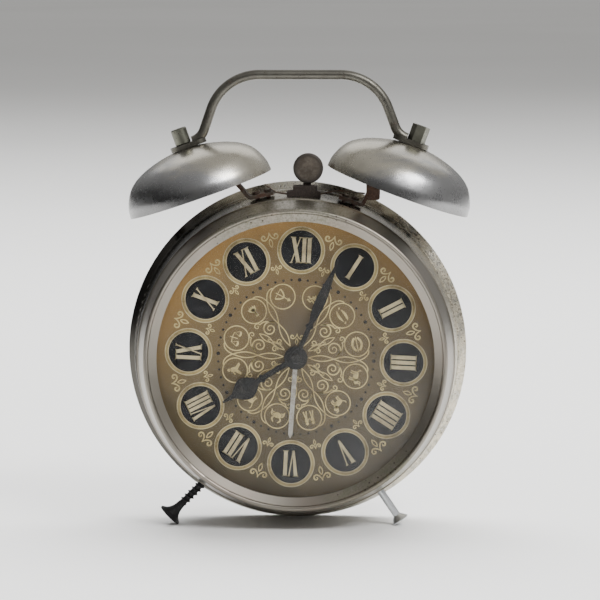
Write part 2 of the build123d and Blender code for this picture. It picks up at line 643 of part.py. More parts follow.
with BuildPart() as centre_wheel:
    with BuildSketch(facing(17.7)):
        add(toothed(CENTRE_TEETH, CENTRE_MODULE, 0.0))
        with PolarLocations(8.4, 5):
            Circle(3.2, mode=Mode.SUBTRACT)
    extrude(amount=0.7)
    disc(16.8, 18.2, 1.8)
    with BuildSketch(facing(20.2)):
        add(toothed(CENTRE_PINION, GREAT_MODULE, CENTRE_PINION_PHASE))
    extrude(amount=2.2)
    disc(16.8, 20.2, CENTRE_POST + RUNNING_GAP, mode=Mode.SUBTRACT)
centre_wheel.part.label = "centre_wheel"
export_step(centre_wheel.part, "parts/centre_wheel.step")

# each wheel: place, wheel teeth, module, wheel depths, pinion teeth, module, phase, pinion depths
TRAIN = {
    "third_wheel": (THIRD_ARBOR, THIRD_TEETH, THIRD_MODULE, (21.0, 21.6),
                    THIRD_PINION, CENTRE_MODULE, THIRD_PINION_PHASE, (16.9, 18.1)),
    "fourth_wheel": (FOURTH_ARBOR, FOURTH_TEETH, FOURTH_MODULE, (23.4, 24.0),
                     FOURTH_PINION, THIRD_MODULE, FOURTH_PINION_PHASE, (20.6, 22.0)),
}
for label, (place, teeth, module, wheel, pinion_teeth, pinion_module, phase, pinion) in TRAIN.items():
    with BuildPart() as train_wheel:
        with BuildSketch(facing(wheel[1], place)):
            add(toothed(teeth, module, 0.0))
            with PolarLocations(module * teeth * 0.3, 5):
                Circle(module * teeth * 0.11, mode=Mode.SUBTRACT)
        extrude(amount=wheel[1] - wheel[0])
        with BuildSketch(facing(pinion[1], place)):
            add(toothed(pinion_teeth, pinion_module, phase))
        extrude(amount=pinion[1] - pinion[0])
        disc(FRONT_PLATE, BACK_END, ARBOR, place)
    train_wheel.part.label = label
    export_step(train_wheel.part, f"parts/{label}.step")

with BuildPart() as escape_wheel:
    with BuildSketch(facing(27.3, ESCAPE_ARBOR)):
        add(pointed(ESCAPE_TEETH, 5.0, ESCAPE_RADIUS, 6.0))
        with PolarLocations(3.1, 5):
            Circle(1.0, mode=Mode.SUBTRACT)
    extrude(amount=0.6)
    with BuildSketch(facing(24.5, ESCAPE_ARBOR)):
        add(toothed(ESCAPE_PINION, FOURTH_MODULE, ESCAPE_PINION_PHASE))
    extrude(amount=1.5)
    disc(FRONT_PLATE, BACK_END, ARBOR, ESCAPE_ARBOR)
escape_wheel.part.label = "escape_wheel"
export_step(escape_wheel.part, "parts/escape_wheel.step")

FORK_TIP = LEVER_LENGTH - 1.2
FORK_ROOT = LEVER_LENGTH - 4.0
PALLET_SPREAD = 62            # half angle between the two pallet pins
with BuildPart() as pallet_lever:
    to_escape = bearing(PALLET_ARBOR, ESCAPE_ARBOR)
    to_balance = bearing(PALLET_ARBOR, BALANCE_STAFF)
    with BuildSketch(facing(26.2, PALLET_ARBOR)):
        Circle(1.5)
        for angle in (to_escape - PALLET_SPREAD, to_escape + PALLET_SPREAD):
            end = polar(3.8, angle)
            Polygon(
                polar(1.2, angle - 90), polar(1.2, angle + 90),
                shifted(end, 0.6, angle + 90), shifted(end, 0.6, angle - 90), align=None,
            )
    with BuildSketch(facing(26.2, PALLET_ARBOR, to_balance)):
        Polygon(
            (0, -0.7), (0, 0.7), (FORK_ROOT, 0.5), (FORK_TIP, 1.3), (FORK_TIP, 0.5), (FORK_TIP - 1.7, 0),
            (FORK_TIP, -0.5), (FORK_TIP, -1.3), (FORK_ROOT, -0.5), align=None,
        )
    extrude(amount=0.6)
    for angle in (to_escape - PALLET_SPREAD, to_escape + PALLET_SPREAD):
        disc(26.2, 27.6, 0.3, shifted(PALLET_ARBOR, 3.2, angle))
    disc(FRONT_PLATE, BACK_END, ARBOR, PALLET_ARBOR)
pallet_lever.part.label = "pallet_lever"
export_step(pallet_lever.part, "parts/pallet_lever.step")

BALANCE_RADIUS = 9.0
with BuildPart() as balance_wheel:
    with BuildSketch(facing(23.6, BALANCE_STAFF)):
        Circle(BALANCE_RADIUS)
        Circle(BALANCE_RADIUS - 1.3, mode=Mode.SUBTRACT)
        Rectangle(2 * BALANCE_RADIUS - 1, 1.4)
        Circle(1.6)
    extrude(amount=1.0)
    disc(FRONT_PLATE, BACK_END, ARBOR, BALANCE_STAFF)
    disc(23.6, 24.4, 2.5, BALANCE_STAFF)
    disc(24.4, 25.2, 0.35, shifted(BALANCE_STAFF, 1.9, bearing(BALANCE_STAFF, PALLET_ARBOR)))
    disc(18.4, 19.4, 1.2, BALANCE_STAFF)
balance_wheel.part.label = "balance_wheel"
export_step(balance_wheel.part, "parts/balance_wheel.step")

with BuildPart() as regulator:
    with BuildSketch(facing(BACK_END + 0.9, BALANCE_STAFF)):
        Circle(3.4)
        with Locations((REGULATOR_REACH / 2, 0)):
            Rectangle(REGULATOR_REACH, 1.8)
        with Locations((REGULATOR_REACH, 0)):
            Circle(1.5)
        Circle(REGULATOR_BOSS + RUNNING_GAP, mode=Mode.SUBTRACT)
    extrude(amount=0.7)
    disc(BACK_END + 0.2, 37.0, 0.9, shifted(BALANCE_STAFF, REGULATOR_REACH, 0))
regulator.part.label = "regulator"
export_step(regulator.part, "parts/regulator.step")

# ---------------------------------------------------------------- great wheels, clicks, arbors and keys
RATCHET_TEETH = 20
RATCHET_TIP = 6.0
for prefix, place, teeth, module, phase in (
    ("time", TIME_ARBOR, GREAT_TEETH, GREAT_MODULE, GREAT_PHASE),
    ("alarm", ALARM_ARBOR, ALARM_TEETH, ALARM_MODULE, 0.0),
):
    with BuildPart() as great_wheel:
        with BuildSketch(facing(19.6, place)):
            add(toothed(teeth, module, phase))
        extrude(amount=1.0)
        disc(18.2, 19.6, 3.0, place)
        disc(18.2, 19.6, WINDING_POST + RUNNING_GAP, place, mode=Mode.SUBTRACT)
    great_wheel.part.label = f"{prefix}_great_wheel"
    export_step(great_wheel.part, f"parts/{prefix}_great_wheel.step")

    with BuildPart() as click:
        with BuildSketch(facing(20.2, place)):
            Polygon((8.2, 4.8), (10.0, 5.2), (9.2, 0.8), (6.3, 0.0), (6.35, 0.7), align=None)
            with Locations((9.3, 5.2)):
                Circle(1.1)
        extrude(amount=0.6)
    click.part.label = f"{prefix}_click"
    export_step(click.part, f"parts/{prefix}_click.step")

    with BuildPart() as winding_arbor:
        disc(FRONT_PLATE, 40.0, WINDING_POST, place)
        with BuildSketch(facing(20.3, place)):
            add(pointed(RATCHET_TEETH, 5.0, RATCHET_TIP, 7.0))
        extrude(amount=0.6)
        disc(20.3, SPRING_BACK, 2.0, place)
    winding_arbor.part.label = f"{prefix}_winding_arbor"
    export_step(winding_arbor.part, f"parts/{prefix}_winding_arbor.step")

    with BuildPart() as winding_key:
        disc(KNOB_FRONT, 44.0, 3.0, place)
        wing = Plane(origin=(place[0], FRONT, AXIS_HEIGHT + place[1]), x_dir=(1, 0, 0), z_dir=(0, 0, 1))
        with BuildSketch(wing):
            with Locations((-6.2, KEY_END - 5.5), (6.2, KEY_END - 5.5)):
                Circle(5.5)
            with Locations((0, KEY_END - 7.5)):
                Rectangle(8, 7)
        extrude(amount=0.8, both=True)
        disc(KNOB_FRONT, 40.0, WINDING_POST + 0.01, place, mode=Mode.SUBTRACT)
    winding_key.part.label = f"{prefix}_winding_key"
    export_step(winding_key.part, f"parts/{prefix}_winding_key.step")

for label, place, radius, back, bore, bore_end in (
    ("hand_set_knob", CENTRE, 4.8, 43.0, CENTRE_POST, 41.0),
    ("alarm_set_knob", SET_ARBOR, 4.2, 41.5, THICK_ARBOR, 40.0),
):
    with BuildPart() as knob:
        with BuildSketch(facing(back, place)):
            Circle(radius)
            with PolarLocations(radius, 24):
                Circle(0.3, mode=Mode.SUBTRACT)
        extrude(amount=back - KNOB_FRONT - 1.5)
        disc(KNOB_FRONT, back, radius - 1.6, place)
        disc(KNOB_FRONT, bore_end, bore + 0.01, place, mode=Mode.SUBTRACT)
    knob.part.label = label
    export_step(knob.part, f"parts/{label}.step")

# ---------------------------------------------------------------- alarm train, hammer and stop
STAR_PHASE = mesh_phase(0.0, ALARM_TEETH, STAR_PINION, ALARM_TO_STAR)
with BuildPart() as star_wheel:
    with BuildSketch(facing(19.7, STAR_ARBOR)):
        add(toothed(STAR_PINION, ALARM_MODULE, STAR_PHASE))
    extrude(amount=1.3)
    with BuildSketch(facing(25.4, STAR_ARBOR)):
        add(pointed(9, 1.9, STAR_RADIUS, 0.0))
    extrude(amount=0.8)
    disc(FRONT_PLATE, BACK_END, ARBOR, STAR_ARBOR)
star_wheel.part.label = "star_wheel"
export_step(star_wheel.part, "parts/star_wheel.step")

HAMMER_LENGTH = math.dist(HAMMER_ARBOR, HAMMER_HEAD)
HAMMER_BEARING = bearing(HAMMER_ARBOR, HAMMER_HEAD)
FINGER_SPREAD = 50            # half angle between the two fingers that the star wheel strikes
with BuildPart() as hammer_arbor:
    disc(FRONT_PLATE, BACK_END, THICK_ARBOR, HAMMER_ARBOR)
    disc(17.2, 18.8, 2.0, HAMMER_ARBOR)
    to_star = bearing(HAMMER_ARBOR, STAR_ARBOR)
    with BuildSketch(facing(24.0, HAMMER_ARBOR)):
        Circle(1.8)
        for angle in (to_star - FINGER_SPREAD, to_star + FINGER_SPREAD):
            with Locations(Location(polar(2.2, angle) + (0,), (0, 0, angle))):
                SlotOverall(5.2, 1.4)
    extrude(amount=0.8)
    for angle in (to_star - FINGER_SPREAD, to_star + FINGER_SPREAD):
        disc(24.0, 26.0, 0.35, shifted(HAMMER_ARBOR, 4.0, angle))
hammer_arbor.part.label = "hammer_arbor"
export_step(hammer_arbor.part, "parts/hammer_arbor.step")

with BuildPart() as hammer_arm:
    with BuildSketch(facing(BELL_DEPTH + 0.6, HAMMER_ARBOR, HAMMER_BEARING)):
        with Locations(((2.0 + HAMMER_LENGTH - HAMMER_RADIUS) / 2, 0)):
            Rectangle(HAMMER_LENGTH - HAMMER_RADIUS - 2.0, 1.4)
        with Locations((HAMMER_LENGTH - HAMMER_RADIUS - 0.6, 0)):
            Rectangle(2.4, 2.6)
    extrude(amount=1.2)
    with Locations(facing(BELL_DEPTH + 0.8, HAMMER_ARBOR)):
        Cylinder(2.0 + 0.01, 4, mode=Mode.SUBTRACT)
    with Locations(facing(BELL_DEPTH, HAMMER_HEAD)):
        Cylinder(HAMMER_RADIUS, 4, mode=Mode.SUBTRACT)
hammer_arm.part.label = "hammer_arm"
export_step(hammer_arm.part, "parts/hammer_arm.step")

with BuildPart() as hammer_head:
    disc(BELL_DEPTH - 1.5, BELL_DEPTH + 1.5, HAMMER_RADIUS, HAMMER_HEAD)
    fillet(hammer_head.edges().filter_by(GeomType.CIRCLE), 0.8)
hammer_head.part.label = "hammer_head"
export_step(hammer_head.part, "parts/hammer_head.step")

with BuildPart() as alarm_stop:
    disc(22.0, 38.5, STOP_ROD_RADIUS, STOP_ROD)
    disc(37.2, 40.6, 3.4, STOP_ROD)
    disc(22.0, 23.0, 1.9, STOP_ROD)
    fillet(alarm_stop.edges().sort_by(Axis.Y)[-1], 0.8)
alarm_stop.part.label = "alarm_stop"
export_step(alarm_stop.part, "parts/alarm_stop.step")

GUARD_FRONT, GUARD_BACK = 15.2, 21.6
with BuildPart() as hammer_guard:
    with BuildSketch(facing(GUARD_BACK)):
        Polygon(
            (-3.2, 52.0), (-3.2, 55.2), (-1.1, 55.5), (-1.1, 57.1), (6.9, 57.1), (6.9, 55.5), (8.1, 55.2),
            (8.1, 52.0), align=None,
        )
    extrude(amount=GUARD_BACK - GUARD_FRONT)
    with BuildSketch(turning()):
        Polygon((11.6, 0), (11.6, 53.2), (24.5, 54.52), (24.5, 0), align=None)
    revolve(axis=spindle(), mode=Mode.SUBTRACT)
    with Locations(((SLOT_LEFT + SLOT_RIGHT) / 2, FRONT + BELL_DEPTH, AXIS_HEIGHT + 55)):
        Box(SLOT_RIGHT - SLOT_LEFT, SLOT_DEPTH - 0.2, 8, mode=Mode.SUBTRACT)
hammer_guard.part.label = "hammer_guard"
export_step(hammer_guard.part, "parts/hammer_guard.step")

with BuildPart() as guard_wires:
    for route in (
        ((-3.2, 54.4), (-6.6, 54.9), (-10.6, 57.6)),
        ((8.1, 54.4), (14.0, 55.6), (23.0, 54.6)),
    ):
        with BuildLine(facing(GUARD_FRONT + 0.8)) as wire:
            FilletPolyline(*route, radius=2.0)
        with BuildSketch(Plane(origin=wire.line @ 0, z_dir=wire.line % 0)):
            Circle(0.3)
        sweep()
guard_wires.part.label = "guard_wires"
export_step(guard_wires.part, "parts/guard_wires.step")

# ---------------------------------------------------------------- bells, brackets and handle
BRACKET_SHEET = 1.2
BRACKET_WIDTH = 7.0
BRACKET_FOOT = 55.3           # radius of the middle of the sheet, over the drum
PAD_HEIGHT = 14.0             # middle of the pad's sheet, over the bell's rim
PAD_LOW = PAD_HEIGHT - BRACKET_SHEET / 2
PAD_HIGH = PAD_HEIGHT + BRACKET_SHEET / 2
# each side: angles of the foot on the drum, then the bend under the bell
BRACKET_FEET = {-1: ((98.0, 106.5), bell_place(-1, 12.4, 0.0)), 1: ((75.0, 66.5), (24.0, 54.5))}

CROWN = [
    (0, BELL_RISE), (5.0, 15.8), (11.0, 14.6), (17.8, 12.0), (22.3, 8.2), (24.3, 4.2), (BELL_RADIUS, 0),
]
INSIDE = [(x * (1 - BELL_SHEET / BELL_RADIUS), y * (1 - BELL_SHEET / BELL_RISE)) for x, y in CROWN]

for side, label in ((-1, "left"), (1, "right")):
    with BuildPart() as bell:
        with BuildSketch(bell_plane(side)):
            with BuildLine():
                Spline(*CROWN, tangents=((1, 0), (0.05, -1)))
                Spline(*INSIDE, tangents=((1, 0), (0.05, -1)))
                Line(CROWN[0], INSIDE[0])
                Line(CROWN[-1], INSIDE[-1])
            make_face()
        revolve(axis=Axis(bell_plane(side).origin, bell_plane(side).y_dir))
        bell_disc(side, 10, 20, BELL_POST + RUNNING_GAP, mode=Mode.SUBTRACT)
    bell.part.label = f"bell_{label}"
    export_step(bell.part, f"parts/bell_{label}.step")

    with BuildPart() as bracket:
        (foot_start, foot_end), bend = BRACKET_FEET[side]
        route = [
            polar(BRACKET_FOOT, foot_start), polar(BRACKET_FOOT, foot_end), bend, bell_place(side, 9.2, 9.5),
            bell_place(side, 5.5, PAD_HEIGHT), bell_place(side, -3.6, PAD_HEIGHT),
        ]
        with BuildSketch(facing(BELL_DEPTH)):
            with BuildLine() as spine:
                FilletPolyline(*route, radius=1.0)
            trace(line_width=BRACKET_SHEET)
        extrude(amount=BRACKET_WIDTH / 2, both=True)
        if side > 0:
            with BuildSketch(facing(BELL_DEPTH - 2.0)):
                with Locations((25.7, 57.2)):
                    RectangleRounded(4.6, 9.6, 1.0)
            extrude(amount=BRACKET_SHEET)
        bell_disc(side, PAD_LOW - 1, PAD_HIGH + 1, BELL_POST + RUNNING_GAP, mode=Mode.SUBTRACT)
        for angle in RIVET_ANGLES[side]:
            with Locations(radial(angle, 52)):
                Cylinder(RIVET + RUNNING_GAP, 8, align=THROUGH, mode=Mode.SUBTRACT)
    bracket.part.label = f"bell_bracket_{label}"
    export_step(bracket.part, f"parts/bell_bracket_{label}.step")

with BuildPart() as bell_screws:
    for side in (-1, 1):
        bell_disc(side, PAD_LOW - 1.8, PAD_LOW, 2.8)
        bell_disc(side, PAD_LOW, STRAP_HIGH + 5.2, BELL_POST)
        bell_disc(side, PAD_HIGH, BELL_RISE - BELL_SHEET - 0.05, 2.2)
bell_screws.part.label = "bell_screws"
export_step(bell_screws.part, "parts/bell_screws.step")

with BuildPart() as bracket_rivets:
    for side, angles in RIVET_ANGLES.items():
        for angle in angles:
            with Locations(radial(angle, 51.8)):
                Cylinder(RIVET, 4.2, align=THROUGH)
            with Locations(radial(angle, BRACKET_FOOT + BRACKET_SHEET / 2 + 0.05)):
                Cylinder(RIVET_HEAD, 0.7, align=THROUGH)
bracket_rivets.part.label = "bracket_rivets"
export_step(bracket_rivets.part, "parts/bracket_rivets.step")

with BuildPart() as handle:
    with BuildLine(facing(BELL_DEPTH)) as grip:
        wire_height = STRAP_LOW + HANDLE_WIRE
        FilletPolyline(
            bell_place(-1, 3.2, wire_height), bell_place(-1, 6.4, wire_height),
            (BELL_MID - HANDLE_CORNER, HANDLE_TOP), (BELL_MID + HANDLE_CORNER, HANDLE_TOP),
            bell_place(1, 6.4, wire_height), bell_place(1, 3.2, wire_height),
            radius=[HANDLE_FOOT_BEND, HANDLE_BEND, HANDLE_BEND, HANDLE_FOOT_BEND],
        )
    with BuildSketch(Plane(origin=grip.line @ 0, z_dir=grip.line % 0)):
        Circle(HANDLE_WIRE)
    sweep()
    for side in (-1, 1):
        with BuildSketch(bell_level(side, STRAP_LOW)):
            with Locations((-side * STRAP_SHIFT, 0)):
                SlotOverall(STRAP_LENGTH, STRAP_WIDTH)
        extrude(amount=STRAP_HIGH - STRAP_LOW)
        bell_disc(side, STRAP_LOW - 1, STRAP_HIGH + 3, BELL_POST + RUNNING_GAP, mode=Mode.SUBTRACT)
handle.part.label = "handle"
export_step(handle.part, "parts/handle.step")

NUT_HEIGHT = 5.5
NUT_BORE = BELL_POST + 0.01
with BuildPart() as handle_nut_left:
    bell_disc(-1, STRAP_HIGH, STRAP_HIGH + NUT_HEIGHT, 2.7)
    chamfer(handle_nut_left.edges().filter_by(GeomType.CIRCLE), 0.35)
    bell_disc(-1, STRAP_HIGH, STRAP_HIGH + NUT_HEIGHT, NUT_BORE, mode=Mode.SUBTRACT)
handle_nut_left.part.label = "handle_nut_left"
export_step(handle_nut_left.part, "parts/handle_nut_left.step")

with BuildPart() as handle_nut_right:
    with BuildSketch(bell_level(1, STRAP_HIGH)):
        RegularPolygon(2.65, 6, major_radius=False)
    extrude(amount=NUT_HEIGHT)
    bell_disc(1, STRAP_HIGH, STRAP_HIGH + NUT_HEIGHT, NUT_BORE, mode=Mode.SUBTRACT)
handle_nut_right.part.label = "handle_nut_right"
export_step(handle_nut_right.part, "parts/handle_nut_right.step")
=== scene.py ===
"""Looks of the twin-bell wind-up alarm clock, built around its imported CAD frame.

Lengths are in metres, or in millimetres times MM. The dial faces -Y, +Z is up and +X is to the
viewer's right.
"""
import json
import math

import bmesh
import bpy
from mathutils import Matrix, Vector


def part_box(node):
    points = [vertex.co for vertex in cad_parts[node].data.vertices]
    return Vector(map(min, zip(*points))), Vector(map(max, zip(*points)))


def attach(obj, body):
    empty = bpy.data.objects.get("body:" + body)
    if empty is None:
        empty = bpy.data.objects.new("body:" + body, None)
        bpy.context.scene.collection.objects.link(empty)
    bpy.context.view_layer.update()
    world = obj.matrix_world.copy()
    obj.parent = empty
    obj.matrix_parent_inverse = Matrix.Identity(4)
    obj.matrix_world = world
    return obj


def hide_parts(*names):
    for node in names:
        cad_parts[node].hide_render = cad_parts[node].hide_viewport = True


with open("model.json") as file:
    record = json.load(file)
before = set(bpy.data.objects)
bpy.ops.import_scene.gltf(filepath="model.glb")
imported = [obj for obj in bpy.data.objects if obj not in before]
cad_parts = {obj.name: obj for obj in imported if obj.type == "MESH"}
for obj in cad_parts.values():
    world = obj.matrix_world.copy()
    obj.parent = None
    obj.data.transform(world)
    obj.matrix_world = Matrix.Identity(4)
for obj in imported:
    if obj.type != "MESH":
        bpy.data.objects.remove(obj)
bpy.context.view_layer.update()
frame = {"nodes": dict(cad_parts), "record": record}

MM = 0.001
BEZEL_LOW, BEZEL_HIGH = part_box("bezel")
AXIS_X = (BEZEL_LOW.x + BEZEL_HIGH.x) / 2
AXIS_Z = (BEZEL_LOW.z + BEZEL_HIGH.z) / 2
CREST_Y = BEZEL_LOW.y
DIAL_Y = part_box("dial")[0].y
DIAL_ROLL = math.radians(2.74)          # the dial sits a little clockwise in its case


# ---------------------------------------------------------------- node helpers
class Shader:
    """A Principled material whose textures are read in the row frame, in metres."""

    def __init__(self, name, metallic=0.0, roughness=0.5):
        self.material = bpy.data.materials.new(name)
        self.material.use_nodes = True
        self.tree = self.material.node_tree
        self.surface = self.tree.nodes["Principled BSDF"]
        self.surface.inputs["Metallic"].default_value = metallic
        self.surface.inputs["Roughness"].default_value = roughness
        self.place = self.tree.nodes.new("ShaderNodeTexCoord").outputs["Object"]

    def node(self, kind, **settings):
        made = self.tree.nodes.new(kind)
        for name, value in settings.items():
            setattr(made, name, value)
        return made

    def put(self, socket, value):
        """Link a socket or set a constant on an input."""
        if isinstance(value, bpy.types.NodeSocket):
            self.tree.links.new(value, socket)
        elif isinstance(value, tuple) and len(value) == 3 and socket.type == "RGBA":
            socket.default_value = (*value, 1.0)
        else:
            socket.default_value = value

    def set(self, **values):
        for name, value in values.items():
            self.put(self.surface.inputs[name.replace("_", " ")], value)

    def stretched(self, scale):
        made = self.node("ShaderNodeMapping")
        self.put(made.inputs["Vector"], self.place)
        self.put(made.inputs["Scale"], scale)
        return made.outputs["Vector"]

    def noise(self, size, detail=4.0, roughness=0.55, distortion=0.0, vector=None):
        """Cloudy noise with features of about the given size in millimetres."""
        made = self.node("ShaderNodeTexNoise")
        self.put(made.inputs["Vector"], vector or self.place)
        self.put(made.inputs["Scale"], 1 / (size * MM))
        self.put(made.inputs["Detail"], detail)
        self.put(made.inputs["Roughness"], roughness)
        self.put(made.inputs["Distortion"], distortion)
        return made.outputs["Fac"]

    def cells(self, size, vector=None):
        """Distance to the nearest point of a random scatter, with that spacing in millimetres."""
        made = self.node("ShaderNodeTexVoronoi")
        self.put(made.inputs["Vector"], vector or self.place)
        self.put(made.inputs["Scale"], 1 / (size * MM))
        return made.outputs["Distance"]

    def steps(self, value, *stops):
        """Colour or grey ramp through (position, colour) stops."""
        made = self.node("ShaderNodeValToRGB")
        ramp = made.color_ramp
        while len(ramp.elements) < len(stops):
            ramp.elements.new(0.5)
        for element, (position, colour) in zip(ramp.elements, stops):
            element.position = position
            level = colour if isinstance(colour, tuple) else (colour, colour, colour)
            element.color = (*level, 1.0)
        self.put(made.inputs["Fac"], value)
        return made.outputs["Color"]

    def mix(self, factor, first, second, blend="MIX"):
        made = self.node("ShaderNodeMix", data_type="RGBA", blend_type=blend)
        self.put(made.inputs[0], factor)
        self.put(made.inputs[6], first)
        self.put(made.inputs[7], second)
        return made.outputs[2]

    def math(self, operation, first, second=0.0, clamp=False):
        made = self.node("ShaderNodeMath", operation=operation, use_clamp=clamp)
        self.put(made.inputs[0], first)
        self.put(made.inputs[1], second)
        return made.outputs[0]

    def axis(self, name):
        made = self.node("ShaderNodeSeparateXYZ")
        self.put(made.inputs[0], self.place)
        return made.outputs[name]

    def ranged(self, value, low, high):
        """0 to 1 as the value goes from low to high, smoothly."""
        made = self.node("ShaderNodeMapRange", interpolation_type="SMOOTHSTEP")
        self.put(made.inputs["Value"], value)
        self.put(made.inputs["From Min"], low)
        self.put(made.inputs["From Max"], high)
        return made.outputs["Result"]

    def near(self, centre, reach):
        """1 at a point of the row frame, falling to 0 at a reach in millimetres from it."""
        made = self.node("ShaderNodeVectorMath", operation="DISTANCE")
        self.put(made.inputs[0], self.place)
        self.put(made.inputs[1], centre)
        return self.ranged(made.outputs["Value"], reach * MM, 0.0)

    def relief(self, height, depth, strength=1.0):
        """Bump from a height of 0 to 1, its depth in millimetres."""
        made = self.node("ShaderNodeBump")
        self.put(made.inputs["Strength"], strength)
        self.put(made.inputs["Distance"], depth * MM)
        self.put(made.inputs["Height"], height)
        self.put(self.surface.inputs["Normal"], made.outputs["Normal"])


# ---------------------------------------------------------------- materials
PIT_BROWN = (0.075, 0.062, 0.050)
# Near black for the drum's painted dark reflection and painted bell shadows.
PAINTED_SHADE_BLACK = (0.030, 0.027, 0.024)


def darker(colour, share):
    """The colour times a share."""
    return tuple(share * channel for channel in colour)


def aged_nickel(name, clean, tarnish, cover):
    """Nickel plate with tarnish and pits. cover makes a socket from 0, clean, to 1, all tarnished."""
    shader = Shader(name, metallic=1.0)
    cloud = shader.noise(14, detail=6, roughness=0.62)
    speckle = shader.noise(0.8, detail=5, roughness=0.72)
    spread = shader.math("ADD", shader.math("MULTIPLY", cloud, 0.6), cover(shader), clamp=True)
    grain = shader.math("MULTIPLY", shader.ranged(spread, 0.35, 0.75), shader.ranged(speckle, 0.40, 0.62))
    pits = shader.math("MULTIPLY", shader.ranged(shader.cells(2.2), 0.19, 0.06),
                       shader.ranged(spread, 0.35, 0.6))
    broad = shader.ranged(shader.noise(26, detail=2), 0.35, 0.65)
    tone = shader.mix(broad, clean, darker(clean, 0.84))
    return shader, shader.mix(grain, tone, tarnish), grain, pits


def finish_nickel(shader, colour, grain, pits, polish=0.22):
    """Set the surface of aged nickel. polish is the roughness of its clean parts."""
    shader.set(Base_Color=shader.mix(pits, colour, PIT_BROWN))
    shader.set(Roughness=shader.steps(shader.math("ADD", shader.math("MULTIPLY", grain, 0.5), pits),
                                      (0.0, polish), (0.5, 0.48), (1.0, 0.70)))
    shader.relief(shader.math("SUBTRACT", shader.math("MULTIPLY", grain, 0.4), pits), 0.06, 0.7)
    return shader.material


def drum_nickel():
    """The case's side: a painted dark reflection of the left bell's underside on the left, painted shadows of
    the right bell on top, mottled grey tarnish on top and a beige bloom on the right.
    """
    def cover(shader):
        top = shader.near((AXIS_X + 2 * MM, 0.0, AXIS_Z + 55 * MM), 34)
        right = shader.ranged(shader.axis("X"), AXIS_X + 22 * MM, AXIS_X + 50 * MM)
        return shader.math("ADD", shader.math("MULTIPLY", top, 0.55), shader.math("MULTIPLY", right, 0.5))

    clean, tarnish, beige_bloom = (0.50, 0.48, 0.43), (0.32, 0.30, 0.235), (0.60, 0.54, 0.42)
    shader, colour, grain, pits = aged_nickel("drum_nickel", clean, tarnish, cover)
    # Painted dark reflection: the drum's left side is painted near black where it mirrors the left bell's
    # dark underside.
    wavy = shader.math("ADD", shader.axis("X"), shader.math("MULTIPLY", shader.noise(20), 12 * MM))
    left = shader.ranged(wavy, AXIS_X - 8 * MM, AXIS_X - 36 * MM)
    # Painted shadow of the right bell: two dark patches on the drum's top right, mixed in with the painted
    # dark reflection on the left.
    streak = shader.near((AXIS_X + 34 * MM, 2 * MM, AXIS_Z + 44 * MM), 9)
    shade = shader.near((AXIS_X + 14 * MM, 2 * MM, AXIS_Z + 54 * MM), 15)
    dark = shader.math("MAXIMUM", left, shader.ranged(streak, 0.10, 0.35))
    dark = shader.math("MAXIMUM", dark, shader.math("MULTIPLY", shader.ranged(shade, 0.10, 0.5), 0.85))
    colour = shader.mix(shader.math("MULTIPLY", dark, 0.88), colour, PAINTED_SHADE_BLACK)
    bloom = shader.ranged(shader.axis("X"), AXIS_X + 24 * MM, AXIS_X + 40 * MM)
    mottle = shader.ranged(shader.noise(3, detail=6, roughness=0.7), 0.35, 0.6)
    beige = shader.math("MULTIPLY", bloom, mottle)
    colour = shader.mix(shader.math("MULTIPLY", beige, 0.9), colour, beige_bloom)
    return finish_nickel(shader, colour, grain, pits)


def bezel_nickel():
    """The front ring: speckled on top, warm grey at the sides, green patina low on the right."""
    def cover(shader):
        top = shader.near((AXIS_X - 6 * MM, CREST_Y, AXIS_Z + 52 * MM), 42)
        low = shader.near((AXIS_X + 26 * MM, CREST_Y, AXIS_Z - 42 * MM), 26)
        return shader.math("ADD", shader.math("MULTIPLY", top, 0.6), shader.math("MULTIPLY", low, 0.7))

    clean, tarnish, verdigris = (0.27, 0.248, 0.212), (0.175, 0.168, 0.125), (0.17, 0.18, 0.125)
    rose_grey = (0.29, 0.235, 0.20)
    shader, colour, grain, pits = aged_nickel("bezel_nickel", clean, tarnish, cover)
    low = shader.near((AXIS_X + 26 * MM, CREST_Y, AXIS_Z - 40 * MM), 30)
    patina = shader.math("MULTIPLY", low, shader.ranged(shader.noise(4, detail=6, roughness=0.7), 0.42, 0.60))
    colour = shader.mix(shader.math("MULTIPLY", patina, 0.7), colour, verdigris)
    rose = shader.ranged(shader.noise(18, detail=3), 0.45, 0.7)
    colour = shader.mix(shader.math("MULTIPLY", rose, 0.4), colour, rose_grey)
    return finish_nickel(shader, colour, grain, pits, polish=0.34)


BELL_REACH = 33 * MM          # from the dial's axis to a bell's own axis, along the rim's plane
BELL_RIM = 54.8 * MM
BELL_SLOPE = 0.36             # how fast the rims fall away to the sides


